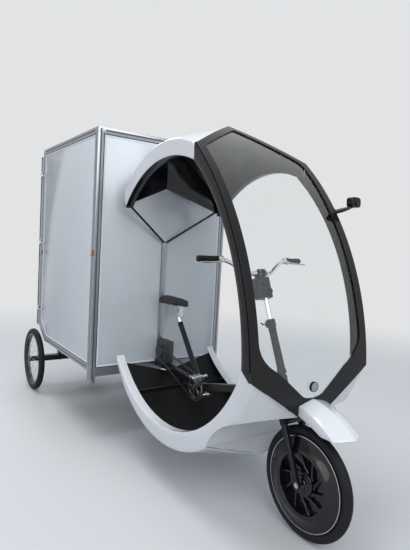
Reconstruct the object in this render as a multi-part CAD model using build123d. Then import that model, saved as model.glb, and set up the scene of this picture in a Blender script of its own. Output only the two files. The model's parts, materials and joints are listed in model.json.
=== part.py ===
"""Cargo tricycle with a faceted rider's shell in front of an aluminium-framed box.

Units are millimetres.  X points forward, Y to the rider's left and Z up.
The origin is on the ground, on the centre line, halfway between the axles.
"""
from build123d import *
from math import atan2, cos, hypot, pi, radians, sin, sqrt
import os

# Wheels
wheelbase = 2640.0
wheel_radius = 255.0
tyre_half_width = 23.0
shoulder_radius = 242.0
tread_half_width = 14.0
bead_radius = 213.0
rim_half_width = 18.0
rear_track = 1026.0
front_axle_radius = 6.0
rear_axle_radius = 8.0
running_gap = 0.05
seat_gap = 0.3
side_gap = 5.0

# Front wheel, a cast disc with swirling vanes
disc_shoulder_inner_radius = 134.0
disc_shoulder_outer_radius = 148.0
disc_shoulder_half_width = 40.0
disc_web_half_width = 14.0
disc_hub_radius = 58.0
disc_hub_half_width = 32.0
vane_count = 10
vane_width = 10.0
vane_bow = 17.0
vane_twist = 34.0

# Rear wheels, wire spoked
rear_rim_inner_radius = 194.0
rear_hub_radius = 22.0
rear_hub_length = 86.0
hub_flange_radius = 34.0
hub_flange_width = 6.0
spoke_width = 3.2
spoke_count = 12
spoke_lean = 38.0

# Rider's shell, seen from the side as (x, z)
shell_width = 740.0
shell_wall = 5.0
facet_columns = 12
facet_rows = 3
flange_width = 50.0
hood_ridge_rear_z = 2000.0
screen_apex = (571.0, 1967.0)
screen_corner_x = 822.0
screen_keel = (1312.0, 517.0)
screen_bow = 239.0
screen_wall = 5.0
pillar_lip_wall = 3.0
hood_tip = (42.0, 1589.0)
hood_crease_bow = 136.6
hood_edge_rear = (66.0, 1502.0)
hood_edge_front = (816.0, 1704.0)
hood_edge_bow = 130.8
pillar_foot = (1260.0, 801.0)
pillar_bow = 106.0
nose_top_z = 757.0
nose_chin = (1230.0, 573.0)
nose_chin_keel = (1219.0, 333.0)
tub_crease_rear = (35.0, 542.0)
tub_crease_front = (1079.0, 408.0)
tub_crease_bow = -222.8
tub_edge_rear = (35.0, 579.0)
tub_edge_bow = -351.5
keel_rear = (35.0, 440.0)
keel_front = (1015.0, 256.0)
keel_bow = -174.0
nose_seam = 2.8
hood_lap = 120.0
cowl_height = 125.0
header_height = 34.0
back_wall = 3.0
back_low_side_z = 1510.0
back_low_middle_z = 1665.0
mast_width = 36.0
mast_depth = 20.0
mast_top_z = 1310.0
strut_width = 14.0
strut_foot = (-76.0, 0.0, 1295.0)
strut_head = (30.0, 335.0, 1532.0)

# Wheel arch and front fender
arch_radius = 312.0
arch_wall = 4.0
fender_half_width = 85.0
fender_wall = 4.0
fender_columns = 5
fender_ridge_rear = (1306.0, 645.0)
fender_ridge_front = (1552.0, 600.0)
fender_ridge_bow = 30.0
fender_chin = (1536.0, 536.0)
fender_edge_rear = (1300.0, 628.0)
fender_edge_front = (1520.0, 533.0)
fender_edge_bow = 3.0
fender_edge_chin = (1516.0, 521.0)
fender_skirt_rear_z = 572.0

# Box body
box_front_x = -87.0
box_length = 1164.0
box_width = 1000.0
box_top_z = 1996.0
post_width = 40.0
front_post_bottom_z = 378.0
front_rail_bottom_z = 420.0
front_panel_bottom_z = 476.0
side_bottom_z = 456.0
corner_cut_length = 166.0
corner_cut_height = 105.0
panel_wall = 10.0
panel_recess = 4.0
floor_bottom_z = 535.0
floor_wall = 15.0

# Rear doors
door_bottom_z = 552.0
door_top_z = 1950.0
door_wall = 24.0
door_hinge_offset = 10.0
hinge_pin_radius = 4.0
hinge_barrel_radius = 7.5
barrel_sides = 12
hinge_leaf_height = 40.0
hinge_leaf_wall = 4.0
hinge_leaf_length = 60.0
hinge_heights = (700.0, 1250.0, 1800.0)
lock_bar_half = 7.0
lock_bar_stand_off = 14.0
lock_bar_margin = 20.0
lock_bar_y = -120.0
lock_guide_half = 14.0
lock_lever_z = 1100.0
lock_lever_length = 150.0
lock_lever_half = 13.0
lock_lever_wall = 10.0

# Frame under the shell and the box
rail_spacing = 600.0
rail_width = 40.0
rail_rear_x = -1372.0
cross_member_x = (-1190.0, -700.0, -200.0)
beam_width = 60.0
beam_front_x = 20.0
bracket_x = 450.0
bracket_z = 450.0
bracket_shell_radius = 22.0
bracket_shell_length = 70.0
main_tube_width = 40.0
outrigger_width = 20.0
front_outrigger = (900.0, 362.0)
rear_outrigger = (228.0, 395.0)
axle_tube_width = 46.0
axle_tube_clearance = 22.0
axle_carrier_width = 70.0
axle_carrier_wall = 12.0
motor_length = 170.0
motor_width = 180.0
motor_height = 150.0
motor_drop = 75.0

# Saddle
seat_tube_top = (173.0, 792.0)
seat_tube_radius = 17.0
seat_post_radius = 13.6
seat_post_length = 53.0
seat_clamp_width = 44.0
seat_clamp_length = 50.0
seat_bore_start = 0.50
seat_insertion = 0.55
saddle_nose_x = 242.0
saddle_rear_x = -30.0
saddle_top_z = 948.0
saddle_width = 150.0
saddle_thickness = 48.0
saddle_edge_drop = 18.0
saddle_edge_inset = 10.0

# Cranks, pedals and chain
crank_length = 165.0
crank_angle = 40.0
crank_axle_radius = 9.0
crank_arm_y = 58.0
crank_arm_wall = 14.0
crank_arm_width = 26.0
pedal_length = 84.0
pedal_width = 62.0
pedal_wall = 18.0
chainring_radius = 76.0
chainring_wall = 4.0
chainring_sides = 36
chainring_arms = 5
chainring_arm_width = 13.0
chainring_inner_radius = 62.0
chainring_hub_radius = 24.0
chain_y = -45.0
chain_wall = 8.0
chain_height = 9.0
sprocket_radius = 34.0
gearbox_x = (-66.0, 54.0)
gearbox_width = 62.0
gearbox_top_z = 640.0

# Steering, measured along its axis from the front axle
rake = 23.8
steerer_radius = 14.0
steerer_top_s = 760.0
crown_low_s = 263.0
crown_high_s = 291.0
crown_half_width = 66.0
crown_half_depth = 17.0
blade_y = 55.0
blade_wall = 16.0
blade_depth_top = 32.0
blade_depth_foot = 20.0
head_tube_radius = 20.0
head_low_s = 334.0
head_high_s = 486.0
stem_radius = 12.0
stem_top_s = 1003.0
stem_collar_radius = 21.0
stem_collar_height = 34.0
stem_cap_wall = 6.0
stem_lever_length = 42.0
stem_lever_drop = 12.0
stem_lever_radius = 5.0
bar_radius = 11.0
bar_sweep_x = 868.0
bar_rise_z = 1238.0
bar_shoulder_y = 70.0
bar_bend_y = 190.0
bar_end_y = 338.0
bar_back_sweep = 22.0
bar_bend_trim = 18.0
grip_radius = 16.0
grip_length = 106.0
grip_sides = 20
lever_clamp_width = 18.0
lever_clamp_wall = 6.0
lever_reach = 38.0
lever_drop = 12.0
lever_blade_height = 8.0
lever_blade_wall = 7.0
lever_body_length = 30.0
console_width = 92.0
console_height = 110.0
console_wall = 34.0
console_s = 925.0

# Lamps and mirror
headlamp_z = 700.0
headlamp_radius = 21.0
headlamp_depth = 12.0
lens_sides = 36
marker_length = 26.0
marker_height = 34.0
marker_depth = 9.0
front_marker = (-107.0, 1213.0)
rear_marker = (-1231.0, 1164.0)
rear_lamp_y = 405.0
rear_lamp_width = 90.0
rear_lamp_height = 34.0
rear_lamp_depth = 22.0
mirror_foot = (1052.0, 1514.0)
mirror_elbow = (1140.0, 408.0, 1536.0)
mirror_head = (1112.0, 450.0, 1574.0)
mirror_size = (16.0, 78.0, 66.0)
mirror_turn = 20.0
mirror_arm_radius = 5.0

# Places that follow from the sizes above
front_x = wheelbase / 2
rear_x = -wheelbase / 2
axle_z = wheel_radius
shell_y = shell_width / 2
box_rear_x = box_front_x - box_length
box_y = box_width / 2
rail_y = rail_spacing / 2
door_front_x = box_rear_x - side_gap
door_hinge_y = box_y + door_hinge_offset
axle_tube_end_y = rear_track / 2 - rear_hub_length / 2 - axle_tube_clearance
cross_top_z = side_bottom_z + post_width
seat_run = (seat_tube_top[0] - bracket_x, seat_tube_top[1] - bracket_z)
seat_stretch = 1 + seat_post_length / hypot(*seat_run)
seat_post_top = (bracket_x + seat_run[0] * seat_stretch, bracket_z + seat_run[1] * seat_stretch)
steer = Plane(
    origin=(front_x, 0, axle_z),
    x_dir=(cos(radians(rake)), 0, sin(radians(rake))),
    z_dir=(-sin(radians(rake)), 0, cos(radians(rake))),
)

os.makedirs("parts", exist_ok=True)


# Shared ways of making shapes
def save(node, shape):
    export_step(shape, f"parts/{node}.step")


def block(x0, x1, y0, y1, z0, z1):
    """A box given by its two corners."""
    middle = Pos((x0 + x1) / 2, (y0 + y1) / 2, (z0 + z1) / 2)
    return middle * Box(abs(x1 - x0), abs(y1 - y0), abs(z1 - z0))


def rod(start, end, radius):
    """A round bar from one point to another."""
    start = Vector(start)
    run = Vector(end) - start
    bar = Cylinder(radius, run.length, align=(Align.CENTER, Align.CENTER, Align.MIN))
    return Plane(origin=start, z_dir=run) * bar


def sided_rod(start, end, radius, sides, to_corners=True):
    """A bar with that many flat sides, its radius taken to their corners or to their middles."""
    start = Vector(start)
    run = Vector(end) - start
    outline = RegularPolygon(radius, sides, major_radius=to_corners)
    return Plane(origin=start, z_dir=run) * extrude(outline, run.length)


def cross_bar(x, y0, y1, z, radius):
    """A round bar across the vehicle."""
    return rod((x, y0, z), (x, y1, z), radius)


def side_line(p, q, y):
    return Edge.make_line((p[0], y, p[1]), (q[0], y, q[1]))


def side_polygon(points, y):
    closed = list(points) + [points[0]]
    return [side_line(p, q, y) for p, q in zip(closed, closed[1:])]


def side_prism(edges, y0, y1):
    """A closed outline in the side view at y0, extruded across to y1."""
    return Solid.extrude(Face(Wire(edges)), Vector(0, y1 - y0, 0))


def front_prism(points, x0, x1):
    """A closed polygon in the front view, as (y, z), extruded along the vehicle."""
    outline = Wire.make_polygon([(x0, y, z) for y, z in points])
    return Solid.extrude(Face(outline), Vector(x1 - x0, 0, 0))


def mirrored(shape):
    return mirror(shape, about=Plane.XZ)


def both_sides(shape):
    return Part() + shape + mirrored(shape)


def turned(points, x, z):
    """Revolve a closed outline of (y, radius) points about a cross axis."""
    outline = Wire.make_polygon([(0, y, radius) for y, radius in points])
    return Pos(x, 0, z) * Solid.revolve(Face(outline), 360, Axis.Y)


class SideArc:
    """An arc in the side view, from start to end, bowed to the left of that line."""

    def __init__(self, start, end, bow):
        self.start = start
        self.end = end
        dx = end[0] - start[0]
        dz = end[1] - start[1]
        chord = hypot(dx, dz)
        left = (-dz / chord, dx / chord)
        half_x = (start[0] + end[0]) / 2
        half_z = (start[1] + end[1]) / 2
        self.middle = (half_x + bow * left[0], half_z + bow * left[1])
        self.radius = (chord**2 / 4 + bow**2) / (2 * abs(bow))
        reach = (self.radius - abs(bow)) * (-1 if bow > 0 else 1)
        self.centre = (half_x + reach * left[0], half_z + reach * left[1])

    def shifted(self, point, amount):
        """The point moved away from the arc's centre by amount."""
        dx = point[0] - self.centre[0]
        dz = point[1] - self.centre[1]
        scale = amount / hypot(dx, dz)
        return (point[0] + dx * scale, point[1] + dz * scale)

    def edge(self, y, grow=0.0, start=None, end=None):
        """The arc at that y, its radius grown, with either end moved if given."""
        first = start or self.shifted(self.start, grow)
        last = end or self.shifted(self.end, grow)
        half = self.shifted(self.middle, grow)
        return Edge.make_three_point_arc(
            (first[0], y, first[1]), (half[0], y, half[1]), (last[0], y, last[1])
        )

    def points(self, count, grow=0.0, start=None, end=None):
        """Evenly turned points along the arc, ends included, with either end moved if given."""
        first = start or self.shifted(self.start, grow)
        last = end or self.shifted(self.end, grow)
        from_angle = atan2(first[1] - self.centre[1], first[0] - self.centre[0])
        to_angle = atan2(last[1] - self.centre[1], last[0] - self.centre[0])
        sweep_angle = (to_angle - from_angle + pi) % (2 * pi) - pi
        radius = self.radius + grow
        row = [first]
        for step in range(1, count):
            angle = from_angle + sweep_angle * step / count
            row.append((self.centre[0] + radius * cos(angle), self.centre[1] + radius * sin(angle)))
        return row + [last]

    def at_z(self, z, grow=0.0):
        """The foremost point of the arc's circle at that height."""
        return (self.centre[0] + sqrt((self.radius + grow) ** 2 - (z - self.centre[1]) ** 2), z)

    def at_x(self, x, side, grow=0.0):
        """The upper or lower point, side 1 or -1, of the arc's circle at that x."""
        return (x, self.centre[1] + side * sqrt((self.radius + grow) ** 2 - (x - self.centre[0]) ** 2))


def inset(before, corner, after, amount):
    """A corner of a chain moved to its left by amount, square to both neighbours."""
    normals = []
    for p, q in ((before, corner), (corner, after)):
        length = hypot(q[0] - p[0], q[1] - p[1])
        normals.append((-(q[1] - p[1]) / length, (q[0] - p[0]) / length))
    sum_x = normals[0][0] + normals[1][0]
    sum_z = normals[0][1] + normals[1][1]
    scale = 2 * amount / (sum_x**2 + sum_z**2)
    return (corner[0] + sum_x * scale, corner[1] + sum_z * scale)


# Lines of the shell
screen = SideArc(screen_apex, screen_keel, screen_bow)
screen_corner = screen.at_x(screen_corner_x, 1)
nose_top = screen.at_z(nose_top_z)
hood_crease = SideArc(hood_tip, screen_corner, hood_crease_bow)
hood_edge = SideArc(hood_edge_rear, hood_edge_front, hood_edge_bow)
pillar_edge = SideArc(hood_edge_front, pillar_foot, pillar_bow)
tub_crease = SideArc(tub_crease_rear, tub_crease_front, tub_crease_bow)
tub_edge = SideArc(tub_edge_rear, pillar_foot, tub_edge_bow)
keel = SideArc(keel_rear, keel_front, keel_bow)
hood_ridge_rear = (box_front_x, hood_ridge_rear_z)
ridge_slope = (screen_apex[1] - hood_ridge_rear_z) / (screen_apex[0] - box_front_x)
hood_ridge_front = (screen_apex[0] + hood_lap, screen_apex[1] + ridge_slope * hood_lap)
hood_crease_front = hood_crease.at_x(screen_corner_x + hood_lap, 1)
long_chord = hypot(hood_crease_front[0] - hood_tip[0], hood_crease_front[1] - hood_tip[1])
long_bow = hood_crease.radius - sqrt(hood_crease.radius**2 - long_chord**2 / 4)
long_crease = SideArc(hood_tip, hood_crease_front, long_bow)
arch = Pos(front_x, 0, axle_z) * Rot(90, 0, 0) * Cylinder(arch_radius, 2 * shell_width)


# Tyres and rims
def tyre(x, y):
    """A tyre that sits on its rim's bead, its round section drawn with five straight runs."""
    side = [(tyre_half_width, bead_radius), (tyre_half_width, shoulder_radius), (tread_half_width, wheel_radius)]
    outline = side + [(-across, radius) for across, radius in reversed(side)]
    return Pos(0, y, 0) * turned(outline, x, axle_z)


def swirl_opening(turn):
    """The gap between two curved vanes, through the web of the front wheel."""
    inner = disc_hub_radius + vane_width / 2
    outer = disc_shoulder_inner_radius - vane_width / 2
    step = 360 / vane_count

    def at(radius, angle):
        a = radians(angle + turn)
        return (radius * cos(a), 0, radius * sin(a))

    def vane_side(angle, margin):
        """The arc along one side of a vane, from the hub to the flange."""
        lean_in = margin * 180 / pi / inner
        lean_out = margin * 180 / pi / outer
        middle_radius = (inner + outer) / 2
        lean_middle = (lean_in + lean_out) / 2 + vane_bow * 180 / pi / middle_radius
        first = at(inner, angle + lean_in)
        half = at(middle_radius, angle + vane_twist / 2 + lean_middle)
        last = at(outer, angle + vane_twist + lean_out)
        return first, half, last

    near = vane_side(0, vane_width / 2)
    far = vane_side(step, -vane_width / 2)
    edges = [
        Edge.make_three_point_arc(*near),
        Edge.make_line(near[2], far[2]),
        Edge.make_three_point_arc(far[2], far[1], far[0]),
        Edge.make_line(far[0], near[0]),
    ]
    depth = 2 * disc_hub_half_width
    return Pos(0, -depth / 2, 0) * Solid.extrude(Face(Wire(edges)), Vector(0, depth, 0))


def front_rim():
    """A disc with a raised shoulder round its vanes, dished down to the rim."""
    side = [
        (disc_hub_half_width, front_axle_radius + running_gap),
        (disc_hub_half_width, disc_hub_radius),
        (disc_web_half_width, disc_hub_radius),
        (disc_web_half_width, disc_shoulder_inner_radius),
        (disc_shoulder_half_width, disc_shoulder_inner_radius),
        (disc_shoulder_half_width, disc_shoulder_outer_radius),
        (rim_half_width, bead_radius),
    ]
    outline = side + [(-y, radius) for y, radius in reversed(side)]
    disc = turned(outline, 0, 0)
    for vane in range(vane_count):
        disc -= swirl_opening(vane * 360 / vane_count)
    return Pos(front_x, 0, axle_z) * disc


def turned_ring(half_width, inner_radius, outer_radius):
    side = [(half_width, inner_radius), (half_width, outer_radius)]
    return turned(side + [(-y, radius) for y, radius in reversed(side)], 0, 0)


def rear_rim(y):
    """A box-section rim on leaning spokes from a hub with two flanges."""
    bore = rear_axle_radius + running_gap
    half_hub = rear_hub_length / 2
    wheel = turned_ring(rim_half_width, rear_rim_inner_radius, bead_radius)
    wheel += turned_ring(half_hub, bore, hub_flange_radius)
    wheel -= turned_ring(half_hub - hub_flange_width, rear_hub_radius, 2 * hub_flange_radius)
    foot_radius = hub_flange_radius - spoke_width
    tip_radius = rear_rim_inner_radius + spoke_width
    for spoke in range(spoke_count):
        side = 1 if spoke % 2 else -1
        turn = radians(360 / spoke_count * spoke)
        lean = turn + radians(spoke_lean) * (1 if spoke % 4 < 2 else -1)
        foot = Vector(foot_radius * cos(lean), side * (half_hub - hub_flange_width / 2), foot_radius * sin(lean))
        tip = Vector(tip_radius * cos(turn), side * spoke_width, tip_radius * sin(turn))
        run = tip - foot
        bar = Box(spoke_width, spoke_width, run.length, align=(Align.CENTER, Align.CENTER, Align.MIN))
        wheel += Plane(origin=foot, z_dir=run) * bar
    return Pos(rear_x, y, axle_z) * wheel


save("front_tyre", tyre(front_x, 0))
save("front_rim", front_rim())
for side, name in ((1, "left"), (-1, "right")):
    save(f"rear_tyre_{name}", tyre(rear_x, side * rear_track / 2))
    save(f"rear_rim_{name}", rear_rim(side * rear_track / 2))


# Rider's shell
def facet_loft(middle, crease, y_edge):
    """A flank from its closed outline on the centre line out to the one at the crease.

    Both outlines are rows of (x, z) points.  The flank is twisted, so it is laid out as
    flat triangles between rows that run from one outline to the other.
    """
    rows = []
    for step in range(facet_rows + 1):
        share = step / facet_rows
        rows.append(
            [
                Vector(p[0] + (q[0] - p[0]) * share, y_edge * share, p[1] + (q[1] - p[1]) * share)
                for p, q in zip(middle, crease)
            ]
        )
    facets = [Face(Wire.make_polygon(rows[0])), Face(Wire.make_polygon(rows[-1]))]
    for near, far in zip(rows, rows[1:]):
        for i in range(len(near)):
            after = (i + 1) % len(near)
            facets.append(Face(Wire.make_polygon([near[i], near[after], far[after]])))
            facets.append(Face(Wire.make_polygon([near[i], far[after], far[i]])))
    return Solid(Shell(facets))


def screen_disc(grow):
    """Everything behind the screen's surface, moved out by grow."""
    disc = Cylinder(screen.radius + grow, 2 * shell_width)
    return Pos(screen.centre[0], 0, screen.centre[1]) * Rot(90, 0, 0) * disc


def ridge_row(depth):
    """Points along the hood's ridge, one for each point of the crease."""
    (x0, z0), (x1, z1) = hood_ridge_rear, hood_ridge_front
    shares = [step / facet_columns for step in range(facet_columns + 1)]
    return [(x0 + (x1 - x0) * share, z0 + (z1 - z0) * share - depth) for share in shares]


def hood_cover():
    """The space under the hood, to trim the top of the screen."""
    floor_z = pillar_foot[1]
    ridge = ridge_row(0)
    crease = long_crease.points(facet_columns)
    middle = ridge + [(ridge[-1][0], floor_z), (ridge[0][0], floor_z)]
    edge = crease + [(crease[-1][0], floor_z), (crease[0][0], floor_z)]
    return both_sides(facet_loft(middle, edge, shell_y))


def hood_flank(wall):
    """One flank of the hood, from its ridge out to its crease."""
    middle = ridge_row(0) + ridge_row(wall)[::-1]
    crease = long_crease.points(facet_columns) + long_crease.points(facet_columns, -wall)[::-1]
    return facet_loft(middle, crease, shell_y) & screen_disc(-screen_wall - seat_gap)


def hood_side(y0, y1, depth, edge_grow):
    """The upright side of the hood between its crease and its opening."""
    top = hood_crease.edge(y0, -depth)
    bottom = hood_edge.edge(y0, edge_grow)
    outline = [
        top,
        Edge.make_line(top @ 1, bottom @ 1),
        Edge.make_three_point_arc(bottom @ 1, bottom @ 0.5, bottom @ 0),
        Edge.make_line(bottom @ 0, top @ 0),
    ]
    return side_prism(outline, y0, y1)


def edge_strip(arc, y0, y1, low, high):
    """A strip that turns in from a side wall along its opening."""
    inner = arc.edge(y0, low)
    outer = arc.edge(y0, high)
    outline = [
        outer,
        Edge.make_line(outer @ 1, inner @ 1),
        Edge.make_three_point_arc(inner @ 1, inner @ 0.5, inner @ 0),
        Edge.make_line(inner @ 0, outer @ 0),
    ]
    return side_prism(outline, y0, y1)


def hood_shell():
    y_in = shell_y - shell_wall
    side = hood_side(y_in, shell_y, shell_wall / 2, 0) & screen_disc(-screen_wall - seat_gap)
    lip = edge_strip(hood_edge, shell_y - flange_width, shell_y, 0, shell_wall)
    ahead_x = screen_corner[0] + hood_lap
    cheek = [screen_corner, hood_edge_front, (ahead_x, hood_edge_front[1]), (ahead_x, screen_corner[1])]
    cheek_zone = side_prism(side_polygon(cheek, y_in - flange_width), y_in - flange_width, shell_y)
    return both_sides(Part() + hood_flank(shell_wall) + (Part() + side + lip - cheek_zone))


def tub_chain(arc, chin, top, depth):
    """Outline from the rear of the tub to the top of the nose, moved in by depth."""
    heading = (arc.end[1] - arc.centre[1], arc.centre[0] - arc.end[0])
    before = (arc.end[0] + heading[0], arc.end[1] + heading[1])
    front = inset(before, arc.end, chin, depth)
    corner = inset(arc.end, chin, top, depth)
    run = (top[0] - chin[0], top[1] - chin[1])
    lip = inset(chin, top, (top[0] + run[0], top[1] + run[1]), depth)
    return arc.shifted(arc.start, -depth), front, corner, lip


def chain_edges(arc, chin, top, depth, y):
    rear, front, corner, lip = tub_chain(arc, chin, top, depth)
    bottom = arc.edge(y, -depth, rear, front)
    return [bottom, side_line(front, corner, y), side_line(corner, lip, y)], rear, lip


def chain_row(arc, chin, top, depth):
    """The same outline as points, its arc with one point for each facet."""
    rear, front, corner, lip = tub_chain(arc, chin, top, depth)
    return arc.points(facet_columns, -depth, rear, front) + [corner, lip]


def tub_flank(wall):
    """One flank of the tub and the nose, from the keel out to the crease."""
    middle = chain_row(keel, nose_chin_keel, screen_keel, 0)
    middle += chain_row(keel, nose_chin_keel, screen_keel, wall)[::-1]
    crease = chain_row(tub_crease, nose_chin, nose_top, 0)
    crease += chain_row(tub_crease, nose_chin, nose_top, wall)[::-1]
    return facet_loft(middle, crease, shell_y)


def tub_side(y0, y1, depth, edge_grow):
    """The upright side of the tub and the nose, below the opening."""
    low, rear, lip = chain_edges(tub_crease, nose_chin, nose_top, depth, y0)
    top = tub_edge.edge(y0, edge_grow)
    outline = low + [
        Edge.make_line((lip[0], y0, lip[1]), top @ 1),
        top,
        Edge.make_line(top @ 0, (rear[0], y0, rear[1])),
    ]
    return side_prism(outline, y0, y1)


def tub_shell():
    side = tub_side(shell_y - shell_wall, shell_y, shell_wall / 2, 0)
    lip = edge_strip(tub_edge, shell_y - flange_width, shell_y, 0, shell_wall)
    return both_sides((Part() + tub_flank(shell_wall) + side + lip) - arch)


def tub_space(depth):
    """The space inside the tub, up to the foot of the pillars."""
    top_z = pillar_foot[1]
    front_top = (screen.at_z(top_z, -2 * screen_wall)[0], top_z)
    rows = []
    for arc, chin, top in ((keel, nose_chin_keel, screen_keel), (tub_crease, nose_chin, nose_top)):
        row = chain_row(arc, chin, top, depth)
        rows.append(row + [front_top, (row[0][0], top_z)])
    return both_sides(facet_loft(rows[0], rows[1], shell_y)) & block(
        tub_edge_rear[0] - shell_y, front_x + shell_y, depth - shell_y, shell_y - depth, 0, 2 * top_z
    )


def wheel_arch():
    """The curved panel behind and above the front wheel, with the steering's hole."""
    outer = Cylinder(arch_radius + arch_wall, 2 * shell_width)
    inner = Cylinder(arch_radius, 2 * shell_width)
    ring = Pos(front_x, 0, axle_z) * Rot(90, 0, 0) * (outer - inner)
    hole_radius = steerer_radius + side_gap + arch_wall
    hole = steer * Pos(0, 0, arch_radius) * Cylinder(hole_radius, arch_radius / 2)
    return tub_space(shell_wall + seat_gap) & ring - hole


def hood_space(depth):
    """The space inside the hood, down to the foot of the pillars."""
    floor_z = pillar_foot[1]
    ridge = ridge_row(depth)
    crease = long_crease.points(facet_columns, -depth)
    rows = []
    for row in (ridge, crease):
        rear = (row[0][0] - side_gap, row[0][1])
        rows.append([(rear[0], floor_z), (row[-1][0], floor_z)] + row[::-1] + [rear])
    half = shell_y - depth
    return both_sides(facet_loft(rows[0], rows[1], shell_y)) & block(
        hood_ridge_rear[0], screen_corner_x + hood_lap, -half, half, floor_z, 2 * hood_ridge_rear_z
    )


def hood_back():
    """The black panel that closes the hood behind the rider, and the struts that carry it."""
    x0 = box_front_x + seat_gap
    corners = [
        (x0, 0, back_low_middle_z),
        (x0, 0, 2 * hood_ridge_rear_z),
        (hood_tip[0], shell_y, 2 * hood_ridge_rear_z),
        (hood_tip[0], shell_y, back_low_side_z),
    ]
    leaf = Solid.extrude(Face(Wire.make_polygon(corners)), Vector(back_wall, 0, 0))
    half = Part() + (leaf & hood_space(shell_wall + seat_gap))
    foot = Vector(strut_foot)
    run = Vector(strut_head) - foot
    bar = Box(strut_width, strut_width / 2, run.length, align=(Align.CENTER, Align.CENTER, Align.MIN))
    half += Plane(origin=foot, x_dir=(0, 1, 0), z_dir=run) * bar
    clearance = hood_mast(seat_gap)
    return both_sides(half) - clearance


def hood_mast(grow=0.0):
    """The upright on the front of the box that the hood's struts start from."""
    rear = box_front_x - panel_recess + seat_gap
    half = mast_width / 2 + grow
    return block(rear, rear + mast_depth + grow, -half, half, cross_top_z + seat_gap, mast_top_z + grow)


save("hood_shell", hood_shell())
save("hood_back", hood_back())
save("hood_mast", hood_mast())
save("tub_shell", tub_shell())
save("wheel_arch", wheel_arch())


# Windscreen, its pillars, header and cowl
def screen_low_z(y):
    return screen_keel[1] + nose_seam + (nose_top[1] - screen_keel[1]) * abs(y) / shell_y


def screen_high_z(y):
    return screen_apex[1] + (screen_corner[1] - screen_apex[1]) * abs(y) / shell_y


def screen_sheet(y0, y1):
    outline = [
        screen.edge(y0),
        Edge.make_line(screen.edge(y0) @ 1, screen.edge(y0, -screen_wall) @ 1),
        Edge.make_three_point_arc(
            screen.edge(y0, -screen_wall) @ 1, screen.edge(y0, -screen_wall) @ 0.5, screen.edge(y0, -screen_wall) @ 0
        ),
        Edge.make_line(screen.edge(y0, -screen_wall) @ 0, screen.edge(y0) @ 0),
    ]
    return side_prism(outline, y0, y1)


def vee_window(y_edge, low, high):
    """A front-view outline between two V-shaped lines, cut through the sheet."""
    points = [(-y_edge, low(y_edge)), (0, low(0)), (y_edge, low(y_edge))]
    points += [(y_edge, high(y_edge)), (0, high(0)), (-y_edge, high(y_edge))]
    return front_prism(points, screen_apex[0] - shell_y, front_x + shell_y)


border_y = shell_y - flange_width
sheet = screen_sheet(-border_y, border_y)
glass_window = vee_window(
    border_y, lambda y: screen_low_z(y) + cowl_height, lambda y: screen_high_z(y) - header_height
)
cowl_window = vee_window(border_y, screen_low_z, lambda y: screen_low_z(y) + cowl_height)
header_window = vee_window(
    border_y, lambda y: screen_high_z(y) - header_height, lambda y: screen_high_z(y) + header_height
)
under_hood = hood_cover()
save("windscreen", sheet & glass_window)
save("cowl", (sheet & cowl_window) - arch)
save("screen_header", sheet & header_window & under_hood)


def pillar():
    """The black corner moulding between the windscreen and the side opening."""
    front = screen_sheet(border_y, shell_y)
    foot = [(border_y, screen_low_z(border_y)), (shell_y, screen_low_z(shell_y))]
    head = [(shell_y, screen_high_z(0)), (border_y, screen_high_z(0))]
    front = (front & front_prism(foot + head, screen_apex[0] - shell_y, front_x + shell_y)) & under_hood
    y0 = shell_y - screen_wall
    corner_to_foot = Edge.make_three_point_arc(
        (screen_corner[0], y0, screen_corner[1]),
        (screen.middle[0], y0, screen.middle[1]),
        (nose_top[0], y0, nose_top[1]),
    )
    rear = pillar_edge.edge(y0)
    outline = [
        corner_to_foot,
        Edge.make_line(corner_to_foot @ 1, rear @ 1),
        Edge.make_three_point_arc(rear @ 1, rear @ 0.5, rear @ 0),
        Edge.make_line(rear @ 0, corner_to_foot @ 0),
    ]
    cheek = side_prism(outline, y0, shell_y)
    lip_y = shell_y - flange_width
    lip = edge_strip(pillar_edge, lip_y, y0, 0, pillar_lip_wall)
    nose_line = [
        (pillar_foot[0] - shell_y, pillar_foot[1] + nose_seam),
        (pillar_foot[0], pillar_foot[1] + nose_seam),
        (nose_top[0], nose_top[1] + nose_seam),
        (nose_top[0] + shell_y, nose_top[1] + nose_seam),
        (nose_top[0] + shell_y, nose_chin[1]),
        (pillar_foot[0] - shell_y, nose_chin[1]),
    ]
    nose = side_prism(side_polygon(nose_line, lip_y), lip_y, shell_y)
    return Part() + front + (Part() + cheek + lip - nose)


save("pillar_left", pillar())
save("pillar_right", mirrored(pillar()))


# Front fender, a ridged beak that carries on from the cowl
def front_fender():
    """Two flanks from the ridge out to the edges, with a skirt down each side."""
    ridge = SideArc(fender_ridge_rear, fender_ridge_front, fender_ridge_bow)
    edge = SideArc(fender_edge_rear, fender_edge_front, fender_edge_bow)
    rows = []
    for arc, chin in ((ridge, fender_chin), (edge, fender_edge_chin)):
        row = arc.points(fender_columns) + [chin, (chin[0] - fender_wall, chin[1])]
        rows.append(row + arc.points(fender_columns, -fender_wall)[::-1])
    flank = facet_loft(rows[0], rows[1], fender_half_width)
    y0 = fender_half_width - fender_wall
    top = edge.edge(y0, -fender_wall / 2)
    low_rear = (fender_edge_rear[0], y0, fender_skirt_rear_z)
    low_front = (fender_edge_chin[0] - fender_wall / 2, y0, fender_edge_chin[1])
    outline = [
        top,
        Edge.make_line(top @ 1, low_front),
        Edge.make_line(low_front, low_rear),
        Edge.make_line(low_rear, top @ 0),
    ]
    skirt = side_prism(outline, y0, fender_half_width)
    return both_sides(Part() + flank + skirt) - screen_disc(seat_gap)


save("front_fender", front_fender())


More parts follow.
